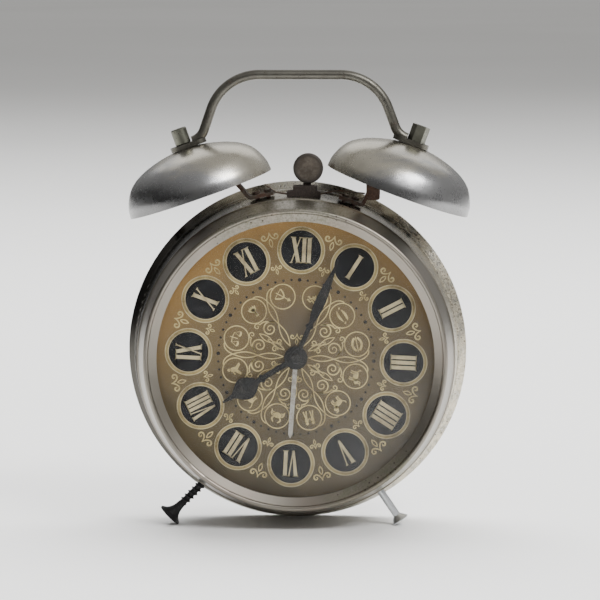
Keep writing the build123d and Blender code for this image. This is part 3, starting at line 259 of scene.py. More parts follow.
def bell_aluminium():
    """Satin spun metal, beige with tarnish towards the crown and grey lower down, with a painted dark
    reflection in a band above the outer rim.
    """
    grey, beige_metal, smudge = (0.32, 0.32, 0.325), (0.58, 0.54, 0.44), (0.20, 0.19, 0.18)
    # The first colour is painted shade for the band above the rim; the brown specks are real.
    painted_rim_shade_grey, speck_brown = (0.10, 0.097, 0.090), (0.10, 0.085, 0.07)
    shader = Shader("bell_aluminium", metallic=1.0)
    low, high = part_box("bell_left")
    rise = shader.ranged(shader.axis("Z"), low.z + 4 * MM, high.z - 2 * MM)
    cloud = shader.noise(8, detail=7, roughness=0.64)
    streak = shader.noise(5, detail=5, roughness=0.6, vector=shader.stretched((0.35, 1.0, 1.6)))
    sideways = shader.math("ABSOLUTE", shader.math("SUBTRACT", shader.axis("X"), AXIS_X))
    inner = shader.ranged(sideways, 34 * MM, 12 * MM)
    spread = shader.math("ADD", shader.math("MULTIPLY", rise, 0.9), shader.math("MULTIPLY", inner, 0.35))
    beige = shader.ranged(shader.math("ADD", spread, shader.math("MULTIPLY", streak, 0.9)), 0.95, 1.45)
    colour = shader.mix(shader.math("MULTIPLY", beige, 0.8), grey, beige_metal)
    colour = shader.mix(shader.math("MULTIPLY", shader.ranged(cloud, 0.5, 0.8), 0.35), colour, smudge)
    # Painted dark reflection: a band just above the rim, on the outer side, is darkened where the bell's
    # lower front mirrors the dark room.
    outward = shader.math("SUBTRACT", sideways, BELL_REACH)
    over_rim = shader.math("ADD", shader.math("SUBTRACT", shader.axis("Z"), AXIS_Z + BELL_RIM),
                           shader.math("MULTIPLY", outward, BELL_SLOPE))
    wavy = shader.math("ADD", over_rim, shader.math("MULTIPLY", cloud, 4 * MM))
    painted_rim_shade = shader.ranged(wavy, 8 * MM, 1 * MM)
    painted_rim_shade = shader.math("MULTIPLY", painted_rim_shade, shader.ranged(outward, -22 * MM, 6 * MM))
    colour = shader.mix(shader.math("MULTIPLY", painted_rim_shade, 0.5), colour, painted_rim_shade_grey)
    speck = shader.math("MULTIPLY", shader.ranged(shader.cells(2.4), 0.10, 0.03), rise)
    shader.set(Base_Color=shader.mix(shader.math("MULTIPLY", speck, 0.7), colour, speck_brown))
    fine = shader.noise(0.5, detail=3, roughness=0.6)
    worn = shader.math("ADD", shader.math("MULTIPLY", cloud, 0.7), shader.math("MULTIPLY", fine, 0.3))
    shader.set(Roughness=shader.steps(worn, (0.3, 0.22), (0.7, 0.34)))
    shader.relief(shader.math("ADD", shader.math("MULTIPLY", streak, 0.5), fine), 0.006, 0.5)
    return shader.material


def dial_bronze():
    """Printed bronze ground, amber under the rim and greyer towards the middle and the lower right."""
    brown, tan, grey_brown = (0.082, 0.062, 0.030), (0.130, 0.097, 0.046), (0.060, 0.056, 0.045)
    amber, dirt = (0.36, 0.205, 0.060), (0.07, 0.05, 0.035)
    shader = Shader("dial_bronze", metallic=0.35, roughness=0.55)
    cloud = shader.noise(22, detail=5, roughness=0.6)
    edge = shader.node("ShaderNodeVectorMath", operation="DISTANCE")
    shader.put(edge.inputs[0], shader.place)
    shader.put(edge.inputs[1], (AXIS_X, DIAL_Y, AXIS_Z))
    ragged = shader.math("ADD", edge.outputs["Value"], shader.math("MULTIPLY", cloud, 9 * MM))
    rim = shader.ranged(ragged, 38 * MM, 52 * MM)
    upper = shader.ranged(shader.axis("Z"), AXIS_Z - 22 * MM, AXIS_Z + 40 * MM)
    left = shader.ranged(shader.axis("X"), AXIS_X + 42 * MM, AXIS_X - 30 * MM)
    outer = shader.math("ADD", shader.math("MULTIPLY", rim, 0.75), 0.25)
    side = shader.math("ADD", shader.math("MULTIPLY", left, 0.5), 0.5)
    warm = shader.math("MULTIPLY", outer, shader.math("MULTIPLY", upper, side))
    ground = shader.mix(shader.ranged(cloud, 0.35, 0.65), brown, tan)
    blank = shader.near((AXIS_X, DIAL_Y, AXIS_Z + 12 * MM), 13)
    ground = shader.mix(shader.math("MULTIPLY", blank, 0.8), ground, grey_brown)
    ground = shader.mix(warm, ground, amber)
    fine = shader.noise(0.7, detail=4, roughness=0.7)
    specks = shader.math("MULTIPLY", shader.ranged(fine, 0.5, 0.8), 0.35)
    shader.set(Base_Color=shader.mix(specks, ground, dirt))
    shader.set(Roughness=shader.steps(fine, (0.3, 0.42), (0.7, 0.62)))
    shader.relief(fine, 0.01, 0.4)
    return shader.material


def gold_ink(name, bright, worn, metallic=0.55):
    """Printed gold that is worn and duller in patches."""
    shader = Shader(name, metallic=metallic)
    patch = shader.noise(7, detail=4, roughness=0.6)
    fine = shader.noise(0.5, detail=3, roughness=0.6)
    fade = shader.ranged(shader.math("ADD", patch, shader.math("MULTIPLY", fine, 0.35)), 0.55, 0.92)
    shader.set(Base_Color=shader.mix(fade, bright, worn))
    shader.set(Roughness=shader.steps(fine, (0.3, 0.34), (0.7, 0.52)))
    shader.relief(fine, 0.008, 0.4)
    return shader.material


def black_ink():
    """Printed black of the discs, a little greyer in patches."""
    black, greyed = (0.002, 0.002, 0.003), (0.012, 0.013, 0.016)
    shader = Shader("black_ink", metallic=0.0)
    cloud = shader.noise(6, detail=5, roughness=0.6)
    shader.set(Base_Color=shader.mix(shader.ranged(cloud, 0.4, 0.8), black, greyed))
    shader.set(Roughness=shader.steps(cloud, (0.3, 0.34), (0.7, 0.50)), Specular_IOR_Level=0.22)
    shader.relief(shader.noise(0.8), 0.006, 0.4)
    return shader.material


def hazy_glass():
    """Old glass: mostly clear, with a dusty film that thickens towards the lower right."""
    shader = Shader("hazy_glass", metallic=0.0, roughness=0.08)
    lower = shader.ranged(shader.axis("Z"), AXIS_Z + 45 * MM, AXIS_Z - 45 * MM)
    right = shader.ranged(shader.axis("X"), AXIS_X - 50 * MM, AXIS_X + 50 * MM)
    dust = shader.noise(12, detail=6, roughness=0.65, distortion=0.4)
    film = shader.math("MULTIPLY", shader.math("MULTIPLY", lower, right), 0.075)
    film = shader.math("ADD", film, shader.math("MULTIPLY", shader.ranged(dust, 0.4, 0.75), 0.020))
    shader.set(Base_Color=(0.34, 0.34, 0.34), IOR=1.6, Alpha=shader.math("ADD", film, 0.008, clamp=True))
    shader.set(Roughness=shader.steps(dust, (0.3, 0.06), (0.7, 0.14)))
    return shader.material


def dark_hands():
    """Black lacquer of the hands, worn to dark grey in patches."""
    lacquer, worn = (0.014, 0.014, 0.014), (0.050, 0.047, 0.042)
    shader = Shader("dark_hands", metallic=0.2)
    patch = shader.noise(2.5, detail=5, roughness=0.65)
    shader.set(Base_Color=shader.mix(shader.ranged(patch, 0.45, 0.75), lacquer, worn))
    shader.set(Roughness=shader.steps(patch, (0.3, 0.50), (0.7, 0.70)), Specular_IOR_Level=0.25)
    shader.relief(shader.noise(0.4), 0.02, 0.5)
    return shader.material


def pale_silver():
    """Silvered alarm hand with duller patches."""
    silver, dull = (0.44, 0.42, 0.37), (0.30, 0.275, 0.23)
    shader = Shader("pale_silver", metallic=0.7)
    patch = shader.noise(1.5, detail=4)
    shader.set(Base_Color=shader.mix(shader.ranged(patch, 0.4, 0.7), silver, dull))
    shader.set(Roughness=shader.steps(patch, (0.3, 0.34), (0.7, 0.52)))
    shader.relief(patch, 0.01, 0.4)
    return shader.material


def rusted_steel(name, steel, rust, amount, pit=1.4):
    """Dull steel with rust in patches and pits. amount is the share of the surface that is rusty."""
    pit_colour = (0.035, 0.028, 0.022)
    shader = Shader(name)
    cloud = shader.noise(5, detail=7, roughness=0.68)
    fine = shader.noise(0.6, detail=5, roughness=0.7)
    spread = shader.math("ADD", shader.math("MULTIPLY", cloud, 0.65), shader.math("MULTIPLY", fine, 0.35))
    edge = 0.72 - 0.40 * amount
    rusty = shader.ranged(spread, edge, edge + 0.12)
    pits = shader.ranged(shader.cells(pit), 0.20, 0.06)
    tone = shader.mix(shader.ranged(fine, 0.35, 0.7), rust, darker(rust, 0.42))
    base = shader.mix(shader.ranged(cloud, 0.35, 0.7), steel, darker(steel, 0.68))
    colour = shader.mix(rusty, base, tone)
    shader.set(Base_Color=shader.mix(shader.math("MULTIPLY", pits, 0.8), colour, pit_colour))
    shader.set(Metallic=shader.steps(rusty, (0.0, 0.95), (1.0, 0.15)))
    coarse = shader.math("ADD", shader.math("MULTIPLY", rusty, 0.6), shader.math("MULTIPLY", fine, 0.4))
    shader.set(Roughness=shader.steps(coarse, (0.1, 0.34), (0.8, 0.82)))
    shader.relief(shader.math("SUBTRACT", shader.math("MULTIPLY", fine, 0.5), pits), 0.06, 0.7)
    return shader.material


def turned_metal(name, colour, roughness=0.3, spots=0.3):
    """Machined metal with a fine grain and a few dull spots."""
    shader = Shader(name, metallic=1.0)
    cloud = shader.noise(6, detail=5, roughness=0.6)
    grain = shader.noise(0.35, detail=2, vector=shader.stretched((1.0, 6.0, 1.0)))
    dull = shader.math("MULTIPLY", shader.ranged(cloud, 0.5, 0.72), spots)
    shader.set(Base_Color=shader.mix(dull, colour, darker(colour, 0.45)))
    coarse = shader.math("ADD", shader.math("MULTIPLY", cloud, 0.6), shader.math("MULTIPLY", grain, 0.4))
    shader.set(Roughness=shader.steps(coarse, (0.3, roughness), (0.75, roughness + 0.22)))
    shader.relief(grain, 0.01, 0.5)
    return shader.material


def black_phosphate():
    """Matt black coating of the drywall screw, rubbed grey in specks."""
    coating, rubbed = (0.012, 0.012, 0.013), (0.045, 0.043, 0.042)
    shader = Shader("black_phosphate", metallic=0.3)
    fine = shader.noise(0.5, detail=4, roughness=0.7)
    shader.set(Base_Color=shader.mix(shader.ranged(fine, 0.5, 0.75), coating, rubbed))
    shader.set(Roughness=shader.steps(fine, (0.3, 0.42), (0.7, 0.6)))
    shader.relief(fine, 0.02, 0.5)
    return shader.material


def coin_bronze():
    """Brown-grey patina with pale speckles and a darker edge."""
    brown, greyer, speckle = (0.062, 0.050, 0.040), (0.118, 0.100, 0.080), (0.25, 0.23, 0.185)
    edge = (0.05, 0.042, 0.036)
    shader = Shader("coin_bronze", metallic=0.6)
    cloud = shader.noise(3, detail=6, roughness=0.7)
    fine = shader.noise(0.5, detail=5, roughness=0.75)
    low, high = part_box("hammer_head")
    middle = (low + high) / 2
    inner = shader.near(tuple(middle), (high.x - low.x) / 2 / MM)
    base = shader.mix(shader.ranged(cloud, 0.35, 0.65), brown, greyer)
    base = shader.mix(shader.math("MULTIPLY", shader.ranged(fine, 0.56, 0.72), 0.7), base, speckle)
    shader.set(Base_Color=shader.mix(shader.ranged(inner, 0.16, 0.0), base, edge))
    shader.set(Roughness=shader.steps(fine, (0.3, 0.45), (0.7, 0.7)))
    shader.relief(shader.math("ADD", fine, cloud), 0.06, 0.7)
    return shader.material


MATERIALS = {
    "case_nickel": drum_nickel(),
    "bell_metal": bell_aluminium(),
    "glass": hazy_glass(),
    "dial_print": dial_bronze(),
    "dull_steel": rusted_steel("dull_steel", (0.150, 0.143, 0.122), (0.095, 0.053, 0.032), 0.38),
    "nut_steel": rusted_steel("nut_steel", (0.175, 0.175, 0.142), (0.105, 0.062, 0.036), 0.30),
    "brown_iron": rusted_steel("brown_iron", (0.075, 0.062, 0.054), (0.042, 0.030, 0.024), 0.85, pit=0.9),
    "black_screw": black_phosphate(),
    "zinc_screw": turned_metal("bright_zinc", (0.66, 0.68, 0.70), 0.24, 0.35),
    "black_hands": dark_hands(),
    "silver_hand": pale_silver(),
    "brass": turned_metal("brass", (0.72, 0.52, 0.22), 0.26),
    "train_steel": turned_metal("train_steel", (0.50, 0.50, 0.51), 0.24),
    "spring_steel": turned_metal("blued_steel", (0.10, 0.13, 0.22), 0.28),
    "key_metal": turned_metal("worn_brass", (0.58, 0.47, 0.28), 0.30, 0.6),
}
SLOTS = {part["node"]: part["material_slot"] for part in frame["record"]["subparts"]}


def paint_cad():
    """Give every CAD node its slot's material, and a few nodes one of their own."""
    rust = rusted_steel("rusty_bracket", (0.10, 0.085, 0.070), (0.090, 0.045, 0.028), 0.75, pit=1.0)
    own = {"hammer_head": coin_bronze(), "bezel": bezel_nickel(), "bell_bracket_left": rust,
           "bell_bracket_right": rust, "bracket_rivets": rust, "guard_wires": rust, "bell_screws": rust,
           "cover_screws": MATERIALS["zinc_screw"]}
    for name, node in frame["nodes"].items():
        material = own.get(name) or MATERIALS[SLOTS[name]]
        for index in range(len(node.material_slots)):
            node.material_slots[index].material = material


# ---------------------------------------------------------------- dial print
def dial_point(x, y, lift):
    """Point on the dial, from millimetres right of and above its centre with XII straight up."""
    across = x * math.cos(DIAL_ROLL) + y * math.sin(DIAL_ROLL)
    up = y * math.cos(DIAL_ROLL) - x * math.sin(DIAL_ROLL)
    return Vector((AXIS_X + across * MM, DIAL_Y - lift * MM, AXIS_Z + up * MM))


def clock(angle, radius):
    """Place at a radius and an angle in degrees clockwise from XII."""
    turn = math.radians(angle)
    return (radius * math.sin(turn), radius * math.cos(turn))


def placed(points, centre, angle=0.0, size=1.0):
    """Points of a motif, scaled, turned clockwise by degrees and moved to a centre."""
    turn = math.radians(angle)
    return [(centre[0] + size * (x * math.cos(turn) + y * math.sin(turn)),
             centre[1] + size * (y * math.cos(turn) - x * math.sin(turn))) for x, y in points]


class Print:
    """Flat ink shapes on the dial, gathered into one mesh of closed slabs."""

    def __init__(self, name, material, lift, thickness=0.03):
        self.name = name
        self.material = material
        self.front = lift + thickness
        self.back = lift
        self.mesh = bmesh.new()

    def slab(self, outline):
        """Closed slab from a simple outline."""
        front = [self.mesh.verts.new(dial_point(x, y, self.front)) for x, y in outline]
        back = [self.mesh.verts.new(dial_point(x, y, self.back)) for x, y in outline]
        self.mesh.faces.new(front)
        self.mesh.faces.new(reversed(back))
        for index in range(len(outline)):
            after = (index + 1) % len(outline)
            self.mesh.faces.new((front[index], back[index], back[after], front[after]))

    def disc(self, centre, radius, sides=32):
        self.slab([(centre[0] + radius * math.cos(math.tau * i / sides),
                    centre[1] + radius * math.sin(math.tau * i / sides)) for i in range(sides)])

    def ellipse(self, centre, half_length, half_width, angle=0.0, sides=20):
        ring = [(half_width * math.cos(math.tau * i / sides), half_length * math.sin(math.tau * i / sides))
                for i in range(sides)]
        self.slab(placed(ring, centre, angle))

    def stroke(self, points, width, closed=False):
        """Ribbon along points. width is a number, or a function of the share of the length."""
        count = len(points)
        rails = []
        for index, (x, y) in enumerate(points):
            before = points[index - 1] if closed or index else points[0]
            after = points[(index + 1) % count] if closed or index < count - 1 else points[-1]
            along = Vector((after[0] - before[0], after[1] - before[1])).normalized()
            half = (width(index / (count - 1)) if callable(width) else width) / 2
            left = (x - along.y * half, y + along.x * half)
            right = (x + along.y * half, y - along.x * half)
            rails.append([self.mesh.verts.new(dial_point(*side, lift))
                          for side, lift in ((left, self.front), (right, self.front),
                                             (right, self.back), (left, self.back))])
        for index in range(count if closed else count - 1):
            here, there = rails[index], rails[(index + 1) % count]
            for corner in range(4):
                across = (corner + 1) % 4
                self.mesh.faces.new((here[corner], there[corner], there[across], here[across]))
        if not closed:
            self.mesh.faces.new(rails[0])
            self.mesh.faces.new(reversed(rails[-1]))

    def ring(self, centre, radius, width, sides=72):
        circle = [(centre[0] + radius * math.cos(math.tau * i / sides),
                   centre[1] + radius * math.sin(math.tau * i / sides)) for i in range(sides)]
        self.stroke(circle, width, closed=True)

    def finish(self):
        bmesh.ops.recalc_face_normals(self.mesh, faces=self.mesh.faces)
        data = bpy.data.meshes.new(self.name)
        self.mesh.to_mesh(data)
        self.mesh.free()
        data.materials.append(self.material)
        piece = bpy.data.objects.new(self.name, data)
        bpy.context.scene.collection.objects.link(piece)
        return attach(piece, "case")


ROUNDEL_RADIUS = 36.06        # all in millimetres
DISC_RADIUS = 6.67
NUMERAL_HEIGHT = 8.8
NUMERAL_WIDTH = 7.1
BAR = 1.24
BAR_GAP = 0.50
THIN = 0.38
SERIF = 0.36
MEDALLION_RADIUS = 20.9
MEDALLION_RING = 4.15
NUMERALS = ["XII", "I", "II", "III", "IIII", "V", "VI", "VII", "VIII", "IX", "X", "XI"]


def numeral_shapes(text):
    """Outlines of a roman numeral, centred, with its top towards +Y."""
    top = NUMERAL_HEIGHT / 2
    widths = {"I": BAR, "V": 2.55 * BAR, "X": 2.6 * BAR}
    total = sum(widths[letter] for letter in text) + BAR_GAP * (len(text) - 1)
    squeeze = min(1.0, NUMERAL_WIDTH / total)
    shapes = []
    left = -total / 2
    for letter in text:
        right = left + widths[letter]
        if letter == "I":
            shapes.append([(left, -top), (right, -top), (right, top), (left, top)])
            feet = [(left, right, top), (left, right, -top)]
        elif letter == "V":
            middle = (left + right) / 2 + 0.15 * BAR
            shapes.append([(left, top), (left + BAR, top),
                           (middle + 0.3 * BAR, -top), (middle - 0.3 * BAR, -top)])
            shapes.append([(right - THIN, top), (right, top),
                           (middle + 0.2 * BAR, -top), (middle - 0.1, -top)])
            feet = [(left, left + BAR, top), (right - THIN, right, top)]
        else:
            shapes.append([(left, top), (left + BAR, top), (right, -top), (right - BAR, -top)])
            shapes.append([(right - THIN, top), (right, top), (left + THIN, -top), (left, -top)])
            feet = [(left, left + BAR, top), (right - THIN, right, top),
                    (right - BAR, right, -top), (left, left + THIN, -top)]
        for start, end, height in feet:
            inner = height - math.copysign(SERIF, height)
            shapes.append([(start - SERIF, height), (end + SERIF, height),
                           (end + 0.1, inner), (start - 0.1, inner)])
        left = right + BAR_GAP
    return [[(x * squeeze, y) for x, y in shape] for shape in shapes]


def curl(eye, radius, turns, end_angle, sense, count=26, core=0.16):
    """Spiral from its eye outwards, ending at an angle in degrees clockwise from XII."""
    points = []
    for index in range(count):
        share = index / (count - 1)
        angle = end_angle - sense * 360 * turns * (1 - share)
        step = clock(angle, radius * (core + (1 - core) * share))
        points.append((eye[0] + step[0], eye[1] + step[1]))
    return points


def bend(start, control, end, count=10):
    """Curve from start to end, pulled towards a control point."""
    return [tuple((1 - t) ** 2 * a + 2 * t * (1 - t) * c + t * t * b
                  for a, c, b in zip(start, control, end)) for t in (i / (count - 1) for i in range(count))]


def leaf(half_width, low, high, count=12):
    """Pointed leaf outline along +Y."""
    side = [(half_width * math.sin(math.pi * i / count), low + (high - low) * i / count)
            for i in range(count + 1)]
    return side + [(-x, y) for x, y in reversed(side[1:-1])]


def tapered(width, least=0.45):
    """Stroke width that swells in the middle."""
    return lambda share: width * (least + (1 - least) * math.sin(math.pi * share))


def roundels():
    """Black discs, their gold rings and the gold numerals."""
    gold = gold_ink("gold_numeral", (0.56, 0.48, 0.28), (0.27, 0.215, 0.115), metallic=0.2)
    band = gold_ink("gold_band", (0.38, 0.295, 0.12), (0.15, 0.11, 0.042), metallic=0.5)
    discs = Print("dial_discs", black_ink(), 0.02)
    bands = Print("dial_ring_bands", band, 0.015)
    lines = Print("dial_ring_lines", gold, 0.04)
    numerals = Print("dial_numerals", gold, 0.055)
    for hour, text in enumerate(NUMERALS):
        centre = clock(30 * hour, ROUNDEL_RADIUS)
        discs.disc(centre, DISC_RADIUS, sides=96)
        bands.ring(centre, 7.35, 1.05, sides=96)
        lines.ring(centre, 6.84, 0.24, sides=96)
        lines.ring(centre, 7.86, 0.28, sides=96)
        for shape in numeral_shapes(text):
            numerals.slab(placed(shape, centre, 30 * hour))
    return [part.finish() for part in (discs, bands, lines, numerals)]


def minute_dots():
    dots = Print("dial_minute_dots", MATERIALS["black_hands"], 0.02)
    for minute in range(60):
        dots.disc(clock(6 * minute, 26.1), 0.62 if minute % 5 == 0 else 0.40, sides=20)
    return dots.finish()


def trefoil(ink, angle, radius, size, way):
    """Leaf with two curls. way is 1 when the leaf points outwards and -1 when it points inwards."""
    centre = clock(angle, radius)
    turn = angle if way > 0 else angle + 180
    ink.stroke(placed(leaf(0.42, 0.0, 2.2) + [(0.0, 0.0)], centre, turn, size), 0.26 * size)
    for side in (-1, 1):
        eye = (side * 1.45, -0.55)
        arm = curl(eye, 0.85, 1.1, -side * 60, -side, count=18)
        stem = bend(arm[-1], (side * 0.2, -0.5), (0.0, -1.5 + 0.1 * side), count=7)
        ink.stroke(placed(arm + stem[1:], centre, turn, size), tapered(0.42 * size, 0.5))


def sector_scrolls(ink, middle):
    """Scrollwork of one sixth of the inner dial, the same on both sides of its middle line."""
    for side in (-1, 1):
        eye = clock(middle + side * 15, 12.9)
        big = curl(eye, 2.55, 1.75, middle + side * 15 + side * 80, side, count=34, core=0.10)
        small_eye = clock(middle + side * 5.6, 16.5)
        small = curl(small_eye, 1.15, 1.2, middle + side * 110, side, count=18)
        join = bend(big[-1], clock(middle + side * 17, 16.6), small[-1], count=9)
        ink.stroke(big + join[1:-1] + small[::-1], tapered(0.44, 0.55))
        inner = curl(clock(middle + side * 11.5, 7.6), 1.15, 1.3, middle + side * 200, -side, count=18)
        tail = bend(inner[-1], clock(middle + side * 3, 8.6), clock(middle + side * 1, 11.2), count=7)
        ink.stroke(inner + tail[1:], tapered(0.36, 0.5))
    for low, high, width in ((4.6, 9.2, 0.55), (8.8, 14.6, 0.8)):
        outline = leaf(width, low, high)
        ink.stroke(placed(outline + [outline[0]], (0.0, 0.0), middle), 0.3)


def chains(ink):
    """Six chains of two pointed loops from the hub, which open round the medallions."""
    for angle in range(30, 390, 60):
        for side in (-1, 1):
            strand = []
            for index in range(41):
                share = index / 40
                radius = 4.2 + 17.0 * share
                strand.append((side * 0.95 * math.sin(math.tau * share), radius))
            ink.stroke(placed(strand, (0.0, 0.0), angle), 0.34)
            centre = clock(angle + side * 15, MEDALLION_RADIUS)
            step = clock(angle + side * 15 - side * 38, MEDALLION_RING + 0.25)
            end = (centre[0] + step[0], centre[1] + step[1])
            ink.stroke(bend(clock(angle, 21.2), clock(angle + side * 3.0, 24.6), end, count=12), 0.36)


def animal(ink, centre, angle, neck, horn, tail):
    """Four-legged figure: neck and tail are how far the head and the tail rise."""
    def local(*points):
        return placed(points, centre, angle)
    ink.ellipse(local((0.0, 0.1))[0], 0.85, 1.75, angle)
    ink.ellipse(local((1.75, 0.55 + neck))[0], 0.62, 0.8, angle + 20)
    ink.stroke(local((0.9, 0.3), (1.5, 0.5 + neck)), 0.95)
    for foot in (-1.45, -0.85, 0.75, 1.35):
        ink.stroke(local((foot, -0.2), (foot + 0.15, -1.15), (foot - 0.05, -1.9)), 0.42)
    ink.stroke(placed(bend((-1.6, 0.4), (-2.6, 0.6 + tail), (-2.2, 1.3 + tail)), centre, angle), 0.32)
    for share in (-0.25, 0.35):
        ink.stroke(placed(bend((1.7 + share, 1.0 + neck), (1.5 + share, 1.5 + neck + horn),
                               (2.2 + share, 1.4 + neck + horn)), centre, angle), 0.26)


def waves(ink, centre, angle):
    """Two waves under a star."""
    for height in (-0.4, -1.4):
        wave = [(-2.4 + 0.3 * i, height + 0.35 * math.sin(1.3 * i)) for i in range(17)]
        ink.stroke(placed(wave, centre, angle), 0.4)
    star = [clock(36 * i, 1.15 if i % 2 == 0 else 0.5) for i in range(10)]
    ink.slab(placed(star[::-1], centre, angle))


def fishes(ink, centre, angle):
    for way in (-1, 1):
        back = [(x, way * (0.95 + 0.55 * math.sin(math.pi * (x + 2) / 4)))
                for x in (-2, -1.3, -0.6, 0.1, 0.8, 1.5, 2)]
        ink.slab(placed(back + [(way * 2.5, way * 0.3)], centre, angle))
        ink.stroke(placed([(-2.3 * way, 0.5 * way), (-2.7 * way, 1.1 * way)], centre, angle), 0.45)


def bowed_leaves(ink, centre, angle):
    for way in (-1, 1):
        bow = bend((-2.2, way * 0.5), (0.0, way * 2.6), (2.2, way * 0.5))
        ink.stroke(placed(bow, centre, angle), 0.75)
    ink.stroke(placed([(-2.6, 0.0), (2.6, 0.0)], centre, angle), 0.3)


def bull(ink, centre, angle):
    animal(ink, centre, angle, neck=0.3, horn=0.5, tail=0.1)


def ram(ink, centre, angle):
    animal(ink, centre, angle, neck=0.6, horn=0.2, tail=0.4)


def two_figures(ink, centre, angle):
    def local(*points):
        return placed(points, centre, angle)

    for way in (-1, 1):
        ink.disc(local((way * 1.0, 1.9))[0], 0.52, sides=16)
        ink.slab(local((way * 0.45, 1.3), (way * 1.6, 1.3), (way * 1.35, -0.4), (way * 0.7, -0.4)))
        ink.stroke(local((way * 0.85, -0.3), (way * 0.6, -2.3)), 0.45)
        ink.stroke(local((way * 1.25, -0.3), (way * 1.6, -2.3)), 0.45)
    ink.stroke(local((-0.6, 0.9), (0.0, 0.3), (0.6, 0.9)), 0.35)


def crab(ink, centre, angle):
    ink.ellipse(placed([(0.0, -0.3)], centre, angle)[0], 0.95, 1.3, angle)
    for way in (-1, 1):
        for foot in range(3):
            leg = bend((way * 1.0, -0.6 * foot + 0.1), (way * 2.0, 0.3 - 0.6 * foot),
                       (way * 2.3, -0.9 - 0.5 * foot), count=6)
            ink.stroke(placed(leg, centre, angle), 0.26)
        claw = bend((way * 0.8, 0.4), (way * 2.2, 1.0), (way * 0.7, 2.2), count=8)
        ink.stroke(placed(claw, centre, angle), tapered(0.6, 0.4))


def lion(ink, centre, angle):
    animal(ink, centre, angle, neck=0.5, horn=-0.4, tail=1.0)
    ink.disc(placed([(1.2, 0.9)], centre, angle)[0], 0.95, sides=12)


def seated_figure(ink, centre, angle):
    body = [(-0.3, 1.4), (1.0, 1.3), (1.2, -0.4), (2.3, -1.7), (1.6, -2.1),
            (0.1, -0.9), (-1.3, -2.0), (-1.9, -1.6), (-0.6, 0.0)]
    ink.disc(placed([(0.4, 2.0)], centre, angle)[0], 0.55, sides=16)
    ink.slab(placed(body, centre, angle))
    ink.stroke(placed([(0.1, 1.0), (-1.5, 0.2)], centre, angle), 0.4)


def scales(ink, centre, angle):
    ink.stroke(placed([(0.0, 2.3), (0.0, -0.4)], centre, angle), 0.3)
    ink.stroke(placed([(-1.8, 1.2), (0.0, 1.5), (1.8, 1.2)], centre, angle), 0.28)
    for way in (-1, 1):
        ink.stroke(placed([(way * 0.9, -0.6), (way * 1.7, 1.2), (way * 2.5, -0.6)], centre, angle), 0.18)
        pan = [(way * 1.7 + 0.95 * math.cos(math.pi * i / 8), -0.6 - 0.7 * math.sin(math.pi * i / 8))
               for i in range(9)]
        ink.slab(placed(pan, centre, angle))


def sheaf(ink, centre, angle):
    root = placed([(0.0, -0.6)], centre, angle)[0]
    for lean in (-34, -17, 0, 17, 34):
        ink.slab(placed(leaf(0.36, 0.2, 2.6), root, angle + lean))
        ink.stroke(placed([(0.0, 0.2), (0.0, -1.5)], root, angle + lean / 2), 0.24)


def archers_bow(ink, centre, angle):
    turned = angle + 40
    ink.stroke(placed(bend((-1.9, -1.9), (2.6, 0.0), (-1.9, 1.9), count=14), centre, turned), 0.5)
    ink.stroke(placed([(-1.9, -1.9), (-1.9, 1.9)], centre, turned), 0.18)
    ink.stroke(placed([(-2.6, 0.0), (2.5, 0.0)], centre, turned), 0.32)
    ink.slab(placed([(2.0, -0.7), (3.1, 0.0), (2.0, 0.7)], centre, turned))


EMBLEMS = (waves, fishes, bowed_leaves, bull, ram, two_figures, crab, lion, seated_figure, scales, sheaf,
           archers_bow)


def scrollwork():
    """Medallions, chains and scrolls of the dial's print."""
    ink = gold_ink("gold_line", (0.60, 0.49, 0.22), (0.30, 0.225, 0.09), metallic=0.15)
    lines = Print("dial_scrolls", ink, 0.02)
    emblems = Print("dial_medallions", ink, 0.024)
    for hour, emblem in enumerate(EMBLEMS):
        middle = 15 + 30 * hour
        trefoil(lines, middle, 40.7, 1.35, -1)
        trefoil(lines, middle, 30.4, 0.85, -1)
        centre = clock(middle, MEDALLION_RADIUS)
        emblems.ring(centre, MEDALLION_RING, 0.36, sides=64)
        emblem(emblems, centre, middle)
    chains(lines)
    for middle in range(60, 360, 60):
        sector_scrolls(lines, middle)
    trefoil(lines, 0, 6.4, 1.0, -1)
    return [lines.finish(), emblems.finish()]


# ---------------------------------------------------------------- threaded foot screw
SCREW_TILT = math.radians(45.0)
SCREW_HEAD = 4.1              # all in millimetres
SCREW_LENGTH = 25.0
SCREW_PITCH = 1.7
SCREW_THREAD_START = 5.6
SCREW_CORE = 1.12
SCREW_CREST = 1.72
SCREW_RECESS = (0.42, 2.15, 1.5)    # half width, reach and depth of the cross recess
BUGLE = ((0.0, 4.1), (0.5, 4.1), (0.9, 3.45), (1.4, 2.75), (2.2, 2.15), (3.4, 1.62), (4.6, 1.38), (5.6, 1.3))


def bugle_radius(height):
    """Radius of the head and neck at a height over the head's face."""
    for (low, wide), (high, narrow) in zip(BUGLE, BUGLE[1:]):
        if height <= high:
            return wide + (narrow - wide) * (height - low) / (high - low)
    return BUGLE[-1][1]


def screw_radius(height, turn):
    """Radius of the screw at a height, for a turn of 0 to 1 about its axis."""
    if height < SCREW_THREAD_START:
        return bugle_radius(height)
    fade = min(1.0, (height - SCREW_THREAD_START) / 1.5, (SCREW_LENGTH - height) / 4.0)
    phase = ((height - SCREW_THREAD_START) / SCREW_PITCH - turn) % 1.0
    crest = max(0.0, 1.0 - abs(phase - 0.5) / 0.24) ** 0.7
    core = SCREW_CORE if height < SCREW_LENGTH - 4.0 else SCREW_CORE * (SCREW_LENGTH - height + 0.2) / 4.2
    neck = max(0.0, 1.0 - (height - SCREW_THREAD_START)) * (BUGLE[-1][1] - SCREW_CORE)
    return core + neck + (SCREW_CREST - SCREW_CORE) * crest * max(fade, 0.0)


